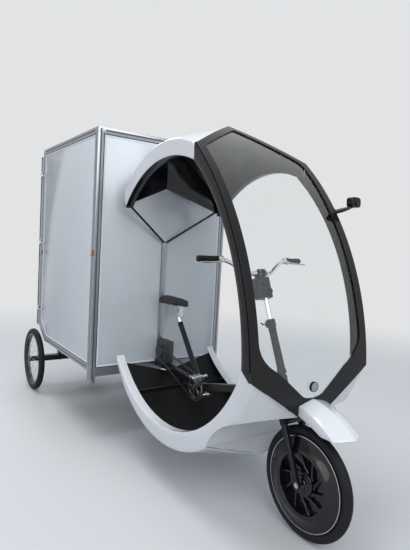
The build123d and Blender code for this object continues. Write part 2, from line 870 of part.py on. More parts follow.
# Box body
def box_side_outline(margin):
    """The side of the box from the side, with its corner cut clear of the wheel."""
    slope = corner_cut_height / corner_cut_length
    lean = margin * (sqrt(1 + slope**2) - 1) / slope
    low_z = side_bottom_z + margin
    cut_x = box_rear_x + corner_cut_length + lean
    cut_z = side_bottom_z + corner_cut_height + margin * (sqrt(1 + slope**2) - slope)
    return [
        (box_front_x - margin, low_z),
        (cut_x, low_z),
        (box_rear_x + margin, cut_z),
        (box_rear_x + margin, box_top_z - margin),
        (box_front_x - margin, box_top_z - margin),
    ]


def box_side_frame():
    y0 = box_y - post_width
    ring = side_prism(side_polygon(box_side_outline(0), y0), y0, box_y)
    ring -= side_prism(side_polygon(box_side_outline(post_width), y0), y0, box_y)
    foot = block(box_front_x - post_width, box_front_x, y0, box_y, front_post_bottom_z, side_bottom_z)
    return Part() + ring + foot


def box_cross_rail(x, z0, z1):
    """A rail across the box, between the two side frames."""
    inner_y = box_y - post_width
    return block(x, x + post_width, -inner_y, inner_y, z0, z1)


def beam():
    """The square beam along the centre line, from the box out to the shell."""
    half = beam_width / 2
    return block(cross_member_x[0], beam_front_x, -half, half, side_bottom_z, cross_top_z)


def box_frame():
    front = box_front_x - post_width
    frame = both_sides(box_side_frame())
    frame += box_cross_rail(front, box_top_z - post_width, box_top_z)
    frame += box_cross_rail(front, front_rail_bottom_z, front_panel_bottom_z)
    frame += box_cross_rail(box_rear_x, box_top_z - post_width, box_top_z)
    return frame - beam()


def box_side_panel(side):
    outer = box_y - panel_recess
    edges = side_polygon(box_side_outline(post_width), outer - panel_wall)
    panel = side_prism(edges, outer - panel_wall, outer)
    return panel if side > 0 else mirrored(panel)


inner_y = box_y - post_width
save("box_frame", box_frame())
save("box_panel_left", box_side_panel(1))
save("box_panel_right", box_side_panel(-1))
front_panel_x = box_front_x - panel_recess
front_panel = block(
    front_panel_x - panel_wall, front_panel_x, -inner_y, inner_y, front_panel_bottom_z, box_top_z - post_width
)
save("box_panel_front", front_panel - beam())
roof_z = box_top_z - panel_recess
roof = block(
    box_rear_x + post_width, box_front_x - post_width, -inner_y, inner_y, roof_z - panel_wall, roof_z
)
save("box_roof", roof)
floor_board = block(
    box_rear_x, box_front_x - post_width, -inner_y, inner_y, floor_bottom_z, floor_bottom_z + floor_wall
)
save("box_floor", floor_board)


# Rear doors and their hinges
def hinge_fixed():
    """Lift-off hinges: each lower half and its pin are fixed to the side of the box."""
    leaves = Part()
    for height in hinge_heights:
        low = height - hinge_leaf_height / 2
        foot = (door_front_x, door_hinge_y, low)
        leaves += sided_rod(foot, (door_front_x, door_hinge_y, height), hinge_barrel_radius, barrel_sides)
        leaves += block(
            door_front_x, door_front_x + hinge_leaf_length, box_y, box_y + hinge_leaf_wall, low, height
        )
        top = height + hinge_leaf_height / 2
        leaves += rod((door_front_x, door_hinge_y, low), (door_front_x, door_hinge_y, top), hinge_pin_radius)
    return leaves


def door():
    """The left door, with the upper halves of its hinges."""
    rear = door_front_x - door_wall
    panel = block(rear, door_front_x, side_gap / 2, box_y - side_gap / 2, door_bottom_z, door_top_z)
    for height in hinge_heights:
        low = height + seat_gap
        high = height + hinge_leaf_height / 2
        foot = (door_front_x, door_hinge_y, low)
        panel += block(
            rear - hinge_leaf_wall,
            door_front_x,
            door_hinge_y - hinge_leaf_wall / 2,
            door_hinge_y + hinge_leaf_wall / 2,
            low,
            high,
        )
        panel += block(
            rear - hinge_leaf_wall, rear, door_hinge_y - hinge_leaf_length, door_hinge_y, low, high
        )
        panel += sided_rod(foot, (door_front_x, door_hinge_y, high), hinge_barrel_radius, barrel_sides)
        panel -= rod(foot, (door_front_x, door_hinge_y, high), hinge_pin_radius + running_gap)
    return panel


def door_bar():
    """The lock bar in its guides and its lever, on the outside of the right door."""
    rear = door_front_x - door_wall
    bar_x = rear - lock_bar_stand_off
    bar = block(
        bar_x - lock_bar_half,
        bar_x + lock_bar_half,
        lock_bar_y - lock_bar_half,
        lock_bar_y + lock_bar_half,
        door_bottom_z + lock_bar_margin,
        door_top_z - lock_bar_margin,
    )
    near_y = lock_bar_y - lock_guide_half
    far_y = lock_bar_y + lock_guide_half
    for z in hinge_heights:
        bar += block(bar_x - lock_guide_half, rear, near_y, far_y, z - lock_guide_half, z + lock_guide_half)
    low = lock_lever_z - lock_lever_half
    high = lock_lever_z + lock_lever_half
    lever_x = bar_x - lock_guide_half
    end_y = lock_bar_y - lock_lever_length
    bar += block(lever_x, lever_x + lock_lever_wall, end_y, far_y, low, high)
    bar += block(lever_x, bar_x, near_y, far_y, low, high)
    bar += block(lever_x, rear, end_y, end_y + lock_guide_half, low, high)
    return bar


save("hinges_left", hinge_fixed())
save("hinges_right", mirrored(hinge_fixed()))
save("door_left", door())
save("door_right", mirrored(door()))
save("door_lock_bar", door_bar())


# Frame under the box and the shell
def box_subframe():
    ladder = Part()
    for x in cross_member_x:
        ladder += block(x - post_width / 2, x + post_width / 2, -inner_y, inner_y, side_bottom_z, cross_top_z)
    low_y = rail_y - rail_width / 2
    rail = block(rail_rear_x, box_front_x - post_width, low_y, low_y + rail_width, cross_top_z, floor_bottom_z)
    return ladder + both_sides(rail) + box_cross_rail(box_rear_x, cross_top_z, floor_bottom_z) + beam()


def rear_axle():
    """Axle tubes on carriers under the rails, with a stub for each wheel."""
    carrier_x = axle_carrier_width / 2
    tube = axle_tube_width / 2
    half = Part() + block(
        rear_x - tube, rear_x + tube, motor_width / 2, axle_tube_end_y, axle_z - tube, axle_z + tube
    )
    half += block(
        rear_x - carrier_x,
        rear_x + carrier_x,
        rail_y - axle_carrier_wall / 2,
        rail_y + axle_carrier_wall / 2,
        axle_z - tube,
        cross_top_z,
    )
    wheel_y = rear_track / 2
    half += cross_bar(rear_x, axle_tube_end_y, wheel_y + rear_hub_length / 2 + 2, axle_z, rear_axle_radius)
    return both_sides(half)


def motor():
    low_z = axle_z - motor_drop
    case = block(
        rear_x - motor_length / 2,
        rear_x + motor_length / 2,
        -motor_width / 2,
        motor_width / 2,
        low_z,
        low_z + motor_height,
    )
    return case


def square_tube(start, end, width):
    """A square bar whose side walls are upright, from one point of the side view to another."""
    start = Vector(start[0], 0, start[1])
    run = Vector(end[0], 0, end[1]) - start
    bar = Box(width, width, run.length, align=(Align.CENTER, Align.CENTER, Align.MIN))
    return Plane(origin=start, x_dir=(0, 1, 0), z_dir=run) * bar


def front_frame():
    """Head tube, down tube, bracket shell, seat tube and strut to the box."""
    head_low = steer.from_local_coords(Vector(0, 0, head_low_s))
    head_high = steer.from_local_coords(Vector(0, 0, head_high_s))
    head_middle = ((head_low.X + head_high.X) / 2, (head_low.Z + head_high.Z) / 2)
    bracket = (bracket_x, bracket_z)
    beam_end = (beam_front_x, (side_bottom_z + cross_top_z) / 2)
    frame = Part() + square_tube(bracket, head_middle, main_tube_width)
    frame += square_tube(bracket, beam_end, main_tube_width)
    frame += rod((bracket_x, 0, bracket_z), (seat_tube_top[0], 0, seat_tube_top[1]), seat_tube_radius)
    frame += cross_bar(
        bracket_x, -bracket_shell_length / 2, bracket_shell_length / 2, bracket_z, bracket_shell_radius
    )
    frame += rod(head_low, head_high, head_tube_radius)
    reach = shell_y - shell_wall - seat_gap
    half = outrigger_width / 2
    for (x, z), end in ((front_outrigger, head_middle), (rear_outrigger, beam_end)):
        tube_z = bracket_z + (x - bracket_x) * (end[1] - bracket_z) / (end[0] - bracket_x)
        frame += block(x - half, x + half, -reach, reach, z - half, z + half)
        frame += block(x - half, x + half, -half, half, z, tube_z)
    frame -= rod(head_low, head_high, steerer_radius + running_gap)
    frame -= cross_bar(
        bracket_x, -bracket_shell_length, bracket_shell_length, bracket_z, crank_axle_radius + running_gap
    )
    bore_foot = (bracket_x + seat_run[0] * seat_bore_start, 0, bracket_z + seat_run[1] * seat_bore_start)
    frame -= rod(bore_foot, (seat_tube_top[0], 0, seat_tube_top[1]), seat_post_radius + running_gap)
    return frame - beam()


save("box_subframe", box_subframe())
save("rear_axle", rear_axle())
save("motor_block", motor())
save("front_frame", front_frame())


# Saddle
def seat_post():
    """The post in the seat tube, with the clamp block under the saddle."""
    foot = (bracket_x + seat_run[0] * seat_insertion, 0, bracket_z + seat_run[1] * seat_insertion)
    post = rod(foot, (seat_post_top[0], 0, seat_post_top[1]), seat_post_radius)
    clamp_z = saddle_top_z - saddle_thickness - seat_gap
    rear = seat_post_top[0] - seat_clamp_length
    half = seat_clamp_width / 2
    block_low = seat_post_top[1] - seat_post_radius / 2
    return post + block(rear, seat_post_top[0] + seat_clamp_length / 2, -half, half, block_low, clamp_z)


def saddle():
    """A closed cushion: broad at the back and narrow at the nose."""
    length = saddle_nose_x - saddle_rear_x
    half = saddle_width / 2
    outline = [
        (saddle_rear_x, -half * 0.62),
        (saddle_rear_x + length * 0.16, -half),
        (saddle_rear_x + length * 0.40, -half * 0.78),
        (saddle_rear_x + length * 0.62, -half * 0.38),
        (saddle_nose_x, -half * 0.24),
    ]
    outline += [(x, -y) for x, y in reversed(outline)]
    low_z = saddle_top_z - saddle_thickness
    plan = Face(Wire.make_polygon([(x, y, low_z) for x, y in outline]))
    cushion = Solid.extrude(plan, Vector(0, 0, saddle_thickness))
    return chamfer(cushion.faces().sort_by(Axis.Z)[-1].edges(), saddle_edge_drop, saddle_edge_inset)


save("seat_post", seat_post())
save("saddle", saddle())


# Cranks, pedals and chain
def crank_point(side, reach):
    """Where a crank points: the right one forward and up, the left one opposite."""
    angle = radians(crank_angle) + (pi if side > 0 else 0)
    return bracket_x + reach * cos(angle), bracket_z + reach * sin(angle)


def chainring():
    """A toothless ring on five arms, its openings cut as wedges."""
    y0 = chain_y - chainring_wall / 2
    y1 = chain_y + chainring_wall / 2
    ring = sided_rod((bracket_x, y0, bracket_z), (bracket_x, y1, bracket_z), chainring_radius, chainring_sides)
    half_turn = pi / chainring_arms
    half_arm = chainring_arm_width / 2
    for arm in range(chainring_arms):
        middle = 2 * half_turn * arm
        corners = []
        for radius, side in (
            (chainring_hub_radius, -1),
            (chainring_inner_radius, -1),
            (chainring_inner_radius, 0),
            (chainring_inner_radius, 1),
            (chainring_hub_radius, 1),
        ):
            angle = middle + side * (half_turn - half_arm / radius)
            corners.append((bracket_x + radius * cos(angle), bracket_z + radius * sin(angle)))
        ring -= side_prism(side_polygon(corners, y0 - chainring_wall), y0 - chainring_wall, y1 + chainring_wall)
    return ring


def crankset():
    arm_y = crank_arm_y + crank_arm_wall
    cranks = cross_bar(bracket_x, -arm_y, arm_y, bracket_z, crank_axle_radius)
    cranks += chainring()
    for side in (1, -1):
        x, z = crank_point(side, crank_length)
        for px, pz, radius in ((bracket_x, bracket_z, crank_arm_width / 2), (x, z, crank_arm_width * 0.4)):
            cranks += cross_bar(px, side * crank_arm_y, side * arm_y, pz, radius)
        along = Vector(x - bracket_x, 0, z - bracket_z).normalized()
        across = Vector(-along.Z, 0, along.X)
        near = crank_arm_width * 0.45
        far = crank_arm_width * 0.36
        corners = [
            Vector(bracket_x, side * crank_arm_y, bracket_z) + across * near,
            Vector(x, side * crank_arm_y, z) + across * far,
            Vector(x, side * crank_arm_y, z) - across * far,
            Vector(bracket_x, side * crank_arm_y, bracket_z) - across * near,
        ]
        arm = Solid.extrude(Face(Wire.make_polygon(corners)), Vector(0, side * crank_arm_wall, 0))
        cranks += arm
    return cranks


def pedal(side):
    x, z = crank_point(side, crank_length)
    inner = side * (crank_arm_y + crank_arm_wall)
    start = inner + side * 6
    body = block(
        x - pedal_width / 2, x + pedal_width / 2, start, start + side * pedal_length,
        z - pedal_wall / 2, z + pedal_wall / 2
    )
    for offset in (-0.24, 0.24):
        hole = block(
            x + offset * pedal_width - pedal_width * 0.14,
            x + offset * pedal_width + pedal_width * 0.14,
            start + side * pedal_length * 0.14,
            start + side * pedal_length * 0.86,
            z - pedal_wall,
            z + pedal_wall,
        )
        body -= hole
    return body + cross_bar(x, inner, start + side * pedal_length, z, pedal_wall * 0.4)


def chain():
    """One fixed loop round the chainring and the gearbox's sprocket."""
    far_x = (gearbox_x[0] + gearbox_x[1]) / 2
    far_z = (cross_top_z + gearbox_top_z) / 2
    return loop_band(
        (bracket_x, bracket_z), chainring_radius + seat_gap, (far_x, far_z), sprocket_radius, chain_height
    )


def loop_band(near, near_radius, far, far_radius, height):
    """A flat band round two wheels, as two rims and the tangent runs between them."""

    def hull(grow):
        run = Vector(far[0] - near[0], 0, far[1] - near[1])
        along = run.normalized()
        across = Vector(-along.Z, 0, along.X)
        slope = (near_radius - far_radius) / run.length
        root = sqrt(1 - slope**2)
        y0 = chain_y - chain_wall / 2
        points = []
        for side in (1, -1):
            normal = along * slope + across * (side * root)
            for centre, radius in ((near, near_radius + grow), (far, far_radius + grow)):
                points.append(Vector(centre[0], y0, centre[1]) + normal * radius)
        corners = [points[0], points[1], points[3], points[2]]
        body = Solid.extrude(Face(Wire.make_polygon(corners)), Vector(0, chain_wall, 0))
        shape = Part() + body
        for centre, radius in ((near, near_radius + grow), (far, far_radius + grow)):
            start = (centre[0], y0, centre[1])
            end = (centre[0], y0 + chain_wall, centre[1])
            shape += sided_rod(start, end, radius, chainring_sides, to_corners=False)
        return shape

    return hull(height) - hull(0)


def gearbox():
    """The gear unit that stands on the beam below the saddle, with its sprocket."""
    far_x = (gearbox_x[0] + gearbox_x[1]) / 2
    far_z = (cross_top_z + gearbox_top_z) / 2
    half = gearbox_width / 2
    case = block(gearbox_x[0], gearbox_x[1], -half, half, cross_top_z, gearbox_top_z)
    return case + cross_bar(far_x, chain_y - chain_wall / 2, -half, far_z, sprocket_radius)


save("crankset", crankset())
save("pedal_left", pedal(1))
save("pedal_right", pedal(-1))
save("chain", chain())
save("gearbox", gearbox())


# Steering
def on_steer(shape, forward=0.0, y=0.0, s=0.0):
    return steer * Pos(forward, y, s) * shape


def fork():
    """Crown, blades, axle and steerer."""
    crown_s = (crown_low_s + crown_high_s) / 2
    crown = on_steer(Box(2 * crown_half_depth, 2 * crown_half_width, crown_high_s - crown_low_s), s=crown_s)
    steerer_low = (crown_low_s + crown_high_s) / 2
    steerer = Cylinder(steerer_radius, steerer_top_s - steerer_low, align=(Align.CENTER, Align.CENTER, Align.MIN))
    shape = crown + on_steer(steerer, s=steerer_low)
    for side in (1, -1):
        profile = [
            (blade_depth_top / 2, crown_low_s),
            (-blade_depth_top / 2, crown_low_s),
            (-blade_depth_foot / 2, -blade_depth_foot / 2),
            (blade_depth_foot / 2, -blade_depth_foot / 2),
        ]
        inner_y = side * (blade_y - blade_wall / 2)
        face = Face(Wire.make_polygon([steer.from_local_coords(Vector(u, inner_y, s)) for u, s in profile]))
        shape += Solid.extrude(face, Vector(0, side * blade_wall, 0))
    shape += cross_bar(front_x, -blade_y, blade_y, axle_z, front_axle_radius)
    return shape


def stem():
    """Chrome post with the clamp collar at its foot."""
    post = Cylinder(stem_radius, stem_top_s - steerer_top_s, align=(Align.CENTER, Align.CENTER, Align.MIN))
    shape = on_steer(post, s=steerer_top_s)
    collar = Cylinder(stem_collar_radius, stem_collar_height) - Cylinder(steerer_radius, stem_collar_height)
    cap = Cylinder(stem_collar_radius, stem_cap_wall, align=(Align.CENTER, Align.CENTER, Align.MIN))
    shape += on_steer(collar, s=steerer_top_s - stem_collar_height / 2)
    shape += on_steer(cap, s=steerer_top_s)
    root = stem_collar_radius - stem_lever_radius
    lever = rod((0, root, 0), (0, root + stem_lever_length, -stem_lever_drop), stem_lever_radius)
    shape += on_steer(lever, s=steerer_top_s - stem_collar_height / 2)
    bar_hole = on_steer(Rot(90, 0, 0) * Cylinder(bar_radius, 4 * stem_radius), s=stem_top_s)
    return shape - bar_hole


def bar_points():
    """The handlebar's route on the left, from the stem out to its end, its bends in two turns."""
    centre = steer.from_local_coords(Vector(0, 0, stem_top_s))
    corners = [
        Vector(centre.X, 0, centre.Z),
        Vector(centre.X, bar_shoulder_y, centre.Z),
        Vector(bar_sweep_x, bar_bend_y, bar_rise_z),
        Vector(bar_sweep_x - bar_back_sweep, bar_end_y, bar_rise_z),
    ]
    route = [corners[0]]
    for before, corner, after in zip(corners, corners[1:], corners[2:]):
        route.append(corner + (before - corner).normalized() * bar_bend_trim)
        route.append(corner + (after - corner).normalized() * bar_bend_trim)
    return route + [corners[-1]]


def handlebar():
    points = bar_points()[1:]
    route = [Vector(p.X, -p.Y, p.Z) for p in reversed(points)] + points
    path = Polyline(*route)
    section = Plane(origin=path @ 0, z_dir=path % 0) * Circle(bar_radius)
    return sweep(section, path=path, transition=Transition.RIGHT)


def grip(side):
    """A rubber sleeve over the end of the bar, closed past its end."""
    bend, end = bar_points()[-2:]
    along = (end - bend).normalized()
    start = end - along * grip_length
    sleeve = sided_rod(start, end + along * lever_clamp_wall, grip_radius, grip_sides)
    sleeve -= rod(start, end, bar_radius + running_gap)
    return sleeve if side > 0 else mirrored(sleeve)


def brake_lever(side):
    """Clamp, lever body and the flat blade in front of the grip."""
    bend, end = bar_points()[-2:]
    along = (end - bend).normalized()
    inner = end - along * (grip_length + lever_clamp_width + seat_gap)
    clamp_radius = bar_radius + lever_clamp_wall
    clamp = sided_rod(inner, inner + along * lever_clamp_width, clamp_radius, grip_sides)
    z = end.Z - lever_drop
    blade_x = end.X + lever_reach
    half = lever_blade_wall / 2
    root_x = inner.X + (bar_radius + clamp_radius) / 2
    root_y = inner.Y
    outline = [
        (root_x, root_y),
        (blade_x - half, root_y),
        (blade_x + half, root_y + half),
        (blade_x + half, end.Y - lever_body_length),
        (blade_x + 2 * half, end.Y),
        (blade_x, end.Y),
        (blade_x - half, end.Y - lever_body_length),
        (blade_x - half, root_y + lever_body_length),
        (root_x, root_y + lever_clamp_width - half),
    ]
    plan = Face(Wire.make_polygon([(x, y, z) for x, y in outline]))
    blade = Solid.extrude(plan, Vector(0, 0, lever_blade_height))
    lever = (clamp + blade) - rod(inner - along, inner + along * 2 * lever_clamp_width, bar_radius + running_gap)
    return lever if side > 0 else mirrored(lever)


def console():
    """The control unit on the rider's side of the stem."""
    back = -(stem_radius + seat_gap + console_wall / 2)
    return on_steer(Box(console_wall, console_width, console_height), forward=back, s=console_s)


save("fork", fork())
save("stem", stem())
save("handlebar", handlebar())
save("grip_left", grip(1))
save("grip_right", grip(-1))
save("brake_lever_left", brake_lever(1))
save("brake_lever_right", brake_lever(-1))
save("console", console())


# Lamps and mirror
def headlamp():
    back = screen.centre[0] + screen.radius + seat_gap
    return sided_rod((back, 0, headlamp_z), (back + headlamp_depth, 0, headlamp_z), headlamp_radius, lens_sides)


def side_markers():
    lamps = Part()
    half_length = marker_length / 2
    half_height = marker_height / 2
    for x, z in (front_marker, rear_marker):
        lamps += block(
            x - half_length, x + half_length, box_y, box_y + marker_depth, z - half_height, z + half_height
        )
    return both_sides(lamps)


def rear_lamps():
    half = rear_lamp_width / 2
    middle_z = (cross_top_z + floor_bottom_z) / 2
    lamp = block(
        box_rear_x - rear_lamp_depth,
        box_rear_x,
        rear_lamp_y - half,
        rear_lamp_y + half,
        middle_z - rear_lamp_height / 2,
        middle_z + rear_lamp_height / 2,
    )
    return both_sides(lamp)


def mirror_set():
    """Arm and housing of the one mirror, on the left pillar."""
    inside = Vector(mirror_foot[0], shell_y - mirror_arm_radius, mirror_foot[1])
    path = Polyline(inside, Vector(mirror_elbow), Vector(mirror_head))
    section = Plane(origin=path @ 0, z_dir=path % 0) * Circle(mirror_arm_radius)
    arm = sweep(section, path=path, transition=Transition.RIGHT)
    reach = 4 * mirror_arm_radius
    arm -= block(mirror_foot[0] - reach, mirror_foot[0] + reach, 0, shell_y, mirror_foot[1] - reach, mirror_foot[1] + reach)
    return arm + Pos(*mirror_head) * Rot(0, 0, -mirror_turn) * Box(*mirror_size)


save("headlamp", headlamp())
save("side_markers", side_markers())
save("rear_lamps", rear_lamps())
save("mirror_arm", mirror_set())
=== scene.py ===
# %% [markdown]
# A cargo tricycle: a white ridged shell with a curved windscreen stands in front of a
# square box on an aluminium frame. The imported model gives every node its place. This
# notebook gives each surface its real finish, and builds the pieces whose curves, soft
# edges or small parts say what the vehicle is made of. Everything shares one frame, in
# metres: x points ahead, y to the left and z up.

import json
from math import asin, atan2, cos, degrees, pi, radians, sin, sqrt

import bmesh
import bpy
from mathutils import Matrix, Vector


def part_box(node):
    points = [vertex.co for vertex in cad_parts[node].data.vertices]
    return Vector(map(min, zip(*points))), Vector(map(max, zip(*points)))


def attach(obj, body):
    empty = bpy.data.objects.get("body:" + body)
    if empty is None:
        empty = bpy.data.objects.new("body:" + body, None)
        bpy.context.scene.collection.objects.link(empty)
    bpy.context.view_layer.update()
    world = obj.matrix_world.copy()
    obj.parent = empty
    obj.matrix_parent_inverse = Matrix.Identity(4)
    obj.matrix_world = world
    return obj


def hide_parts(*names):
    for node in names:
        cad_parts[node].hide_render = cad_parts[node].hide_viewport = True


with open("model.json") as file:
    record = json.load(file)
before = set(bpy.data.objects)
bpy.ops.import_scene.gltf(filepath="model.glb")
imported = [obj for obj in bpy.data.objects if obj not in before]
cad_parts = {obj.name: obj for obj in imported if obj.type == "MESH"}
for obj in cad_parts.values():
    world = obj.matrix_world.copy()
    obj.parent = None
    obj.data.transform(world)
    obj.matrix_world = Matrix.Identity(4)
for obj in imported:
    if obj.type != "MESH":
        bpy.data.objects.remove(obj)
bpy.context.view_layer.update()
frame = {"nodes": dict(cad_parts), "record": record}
nodes = frame["nodes"]
AHEAD = Vector((1, 0, 0))
LEFT = Vector((0, 1, 0))
UP = Vector((0, 0, 1))

# %% [markdown]
# The view is from ahead of the vehicle and to its right, at about head height.
# A camera is a point, a heading and a lens. Here the heading is given as three angles,
# and the matrix is built from them, so that a small roll of the camera is kept as well.

# %% Camera
VIEWPOINT = Vector((2.738, -1.604, 1.315))
HEADING = radians(145.27)
PITCH_DOWN = radians(3.90)
ROLL = radians(3.13)
LENS_MM = 36.0 * 472.0 / 550.0


def into_scene(piece):
    bpy.context.scene.collection.objects.link(piece)
    return piece


def aim_camera():
    ahead = Vector((cos(HEADING) * cos(PITCH_DOWN), sin(HEADING) * cos(PITCH_DOWN), -sin(PITCH_DOWN)))
    level = ahead.cross(UP).normalized()
    upright = level.cross(ahead)
    right = level * cos(ROLL) + upright * sin(ROLL)
    up = upright * cos(ROLL) - level * sin(ROLL)
    turn = Matrix((right, up, -ahead)).transposed()
    data = bpy.data.cameras.new("camera")
    data.lens = LENS_MM
    data.sensor_width = 36.0
    data.sensor_fit = "AUTO"
    data.clip_end = 60.0
    camera = into_scene(bpy.data.objects.new("camera", data))
    camera.matrix_world = Matrix.Translation(VIEWPOINT) @ turn.to_4x4()
    bpy.context.scene.camera = camera
    return camera


camera = aim_camera()
print("camera at", [round(v, 3) for v in camera.matrix_world.translation])

# %% [markdown]
# Gloss paint shows what it faces, so the studio matters as much as the paint: one broad
# soft lamp ahead of the vehicle and above it, weaker ones at the side and the back, and a
# pale surround. The lamps stand where the windscreen doesn't mirror them to the camera.
# The floor fades into the surround with its distance from the middle, so that no horizon
# shows behind the glass. It is pale to the eye but throws back little light, so the
# undersides of the shell keep their shade.

# %% Studio
def plain_colour(name, colour, roughness):
    """A material with no pattern, for the stage only."""
    material = bpy.data.materials.new(name)
    material.use_nodes = True
    shader = material.node_tree.nodes["Principled BSDF"]
    shader.inputs["Base Color"].default_value = (*colour, 1)
    shader.inputs["Roughness"].default_value = roughness
    return material


PAPER = (0.76, 0.77, 0.78, 1)
FLOOR_SEEN = (0.70, 0.705, 0.71)
FLOOR_LIT = (0.30, 0.31, 0.33)
FADE_FROM = 1.9
FADE_TO = 6.5


def combined(tree, operation, first, second):
    """One number worked out from two."""
    node = tree.nodes.new("ShaderNodeMath")
    node.operation = operation
    tree.links.new(first, node.inputs[0])
    tree.links.new(second, node.inputs[1])
    return node.outputs["Value"]


def blended_shader(tree, share, first, second):
    node = tree.nodes.new("ShaderNodeMixShader")
    tree.links.new(share, node.inputs["Fac"])
    tree.links.new(first, node.inputs[1])
    tree.links.new(second, node.inputs[2])
    return node.outputs["Shader"]


def seen_directly(tree):
    """1 for a ray from the camera, or from a mirror or a pane that it looks at."""
    rays = tree.nodes.new("ShaderNodeLightPath").outputs
    seen = combined(tree, "MAXIMUM", rays["Is Camera Ray"], rays["Is Glossy Ray"])
    return combined(tree, "MAXIMUM", seen, rays["Is Transmission Ray"])


def fading_floor():
    material = plain_colour("floor_pale", FLOOR_SEEN, 0.75)
    tree = material.node_tree
    place = tree.nodes.new("ShaderNodeTexCoord")
    distance = tree.nodes.new("ShaderNodeVectorMath")
    distance.operation = "LENGTH"
    tree.links.new(place.outputs["Object"], distance.inputs[0])
    fade = tree.nodes.new("ShaderNodeMapRange")
    fade.interpolation_type = "SMOOTHSTEP"
    fade.inputs["From Min"].default_value = FADE_FROM
    fade.inputs["From Max"].default_value = FADE_TO
    tree.links.new(distance.outputs["Value"], fade.inputs["Value"])
    seen = seen_directly(tree)
    share = combined(tree, "MULTIPLY", fade.outputs["Result"], seen)
    tone = tree.nodes.new("ShaderNodeMix")
    tone.data_type = "RGBA"
    tone.inputs[6].default_value = (*FLOOR_LIT, 1)
    tone.inputs[7].default_value = (*FLOOR_SEEN, 1)
    tree.links.new(seen, tone.inputs[0])
    shader = tree.nodes["Principled BSDF"]
    tree.links.new(tone.outputs[2], shader.inputs["Base Color"])
    paper = tree.nodes.new("ShaderNodeEmission")
    paper.inputs["Color"].default_value = PAPER
    surface = blended_shader(tree, share, shader.outputs["BSDF"], paper.outputs["Emission"])
    tree.links.new(surface, tree.nodes["Material Output"].inputs["Surface"])
    return material


def soft_lamp(name, place, target, size, power):
    data = bpy.data.lights.new(name, "AREA")
    data.shape = "DISK"
    data.size = size
    data.energy = power
    lamp = into_scene(bpy.data.objects.new(name, data))
    lamp.location = place
    lamp.rotation_mode = "QUATERNION"
    lamp.rotation_quaternion = (Vector(target) - Vector(place)).to_track_quat("-Z", "Y")


def build_surround():
    """A soft blue-grey light all round, which camera, mirrors and glass see as pale paper."""
    world = bpy.data.worlds.new("surround")
    world.use_nodes = True
    tree = world.node_tree
    light = tree.nodes["Background"]
    light.inputs["Color"].default_value = (0.68, 0.78, 0.92, 1)
    light.inputs["Strength"].default_value = 0.46
    paper = tree.nodes.new("ShaderNodeBackground")
    paper.inputs["Color"].default_value = PAPER
    backgrounds = light.outputs["Background"], paper.outputs["Background"]
    surface = blended_shader(tree, seen_directly(tree), *backgrounds)
    tree.links.new(surface, tree.nodes["World Output"].inputs["Surface"])
    bpy.context.scene.world = world


def build_stage():
    mesh = bpy.data.meshes.new("floor")
    reach = 30.0
    corners = [(-reach, -reach, 0), (reach, -reach, 0), (reach, reach, 0), (-reach, reach, 0)]
    mesh.from_pydata(corners, [], [(0, 1, 2, 3)])
    floor = into_scene(bpy.data.objects.new("floor", mesh))
    floor.data.materials.append(fading_floor())
    build_surround()
    centre = (0.0, 0.0, 0.9)
    soft_lamp("key", (6.0, -1.5, 4.8), centre, 5.5, 240)
    soft_lamp("fill", (0.5, -6.5, 3.2), centre, 4.0, 22)
    soft_lamp("top", (-0.5, -1.2, 6.5), centre, 3.5, 150)
    soft_lamp("edge", (1.4, -4.6, 1.0), (1.4, 0.0, 0.3), 2.2, 20)
    soft_lamp("back", (-6.0, 1.0, 5.0), centre, 3.0, 80)


build_stage()
view = bpy.context.scene.view_settings
view.view_transform = "Standard"

# %% [markdown]
# A real finish is never one flat colour. Paint has a faint cloudiness, metal has fine lines
# along the way it was drawn, rubber is grey where it is worn. A noise texture in object
# space gives all of these at the scale of the real mark, and it drives colour, roughness
# and a little bump. What is the same all over stays on the shader's own sockets.

# %% Finishes
def finish(name, colour, roughness, metallic=0.0, grain=40.0, stretch=(1, 1, 1), tint=0.12, relief=0.0,
           rough_swing=0.08, **sockets):
    """A material whose colour, roughness and relief vary with one noise."""
    material = bpy.data.materials.new(name)
    material.use_nodes = True
    tree = material.node_tree
    add, link = tree.nodes.new, tree.links.new
    shader = tree.nodes["Principled BSDF"]
    shader.inputs["Metallic"].default_value = metallic
    for socket, value in sockets.items():
        shader.inputs[socket.replace("_", " ").title().replace("Ior", "IOR")].default_value = value
    place = add("ShaderNodeTexCoord")
    scale = add("ShaderNodeMapping")
    scale.inputs["Scale"].default_value = stretch
    link(place.outputs["Object"], scale.inputs["Vector"])
    noise = add("ShaderNodeTexNoise")
    noise.inputs["Scale"].default_value = grain
    noise.inputs["Detail"].default_value = 4.0
    link(scale.outputs["Vector"], noise.inputs["Vector"])
    ramp = add("ShaderNodeValToRGB")
    ramp.color_ramp.elements[0].position = 0.3
    ramp.color_ramp.elements[0].color = (*[c * (1 - tint) for c in colour], 1)
    ramp.color_ramp.elements[1].position = 0.7
    ramp.color_ramp.elements[1].color = (*colour, 1)
    link(noise.outputs["Fac"], ramp.inputs["Fac"])
    link(ramp.outputs["Color"], shader.inputs["Base Color"])
    rough = add("ShaderNodeMapRange")
    rough.inputs["To Min"].default_value = max(roughness - rough_swing, 0.02)
    rough.inputs["To Max"].default_value = roughness + rough_swing
    link(noise.outputs["Fac"], rough.inputs["Value"])
    link(rough.outputs["Result"], shader.inputs["Roughness"])
    if relief:
        bump = add("ShaderNodeBump")
        bump.inputs["Strength"].default_value = 0.6
        bump.inputs["Distance"].default_value = relief
        link(noise.outputs["Fac"], bump.inputs["Height"])
        link(bump.outputs["Normal"], shader.inputs["Normal"])
    return material


along_z = (1, 1, 0.04)
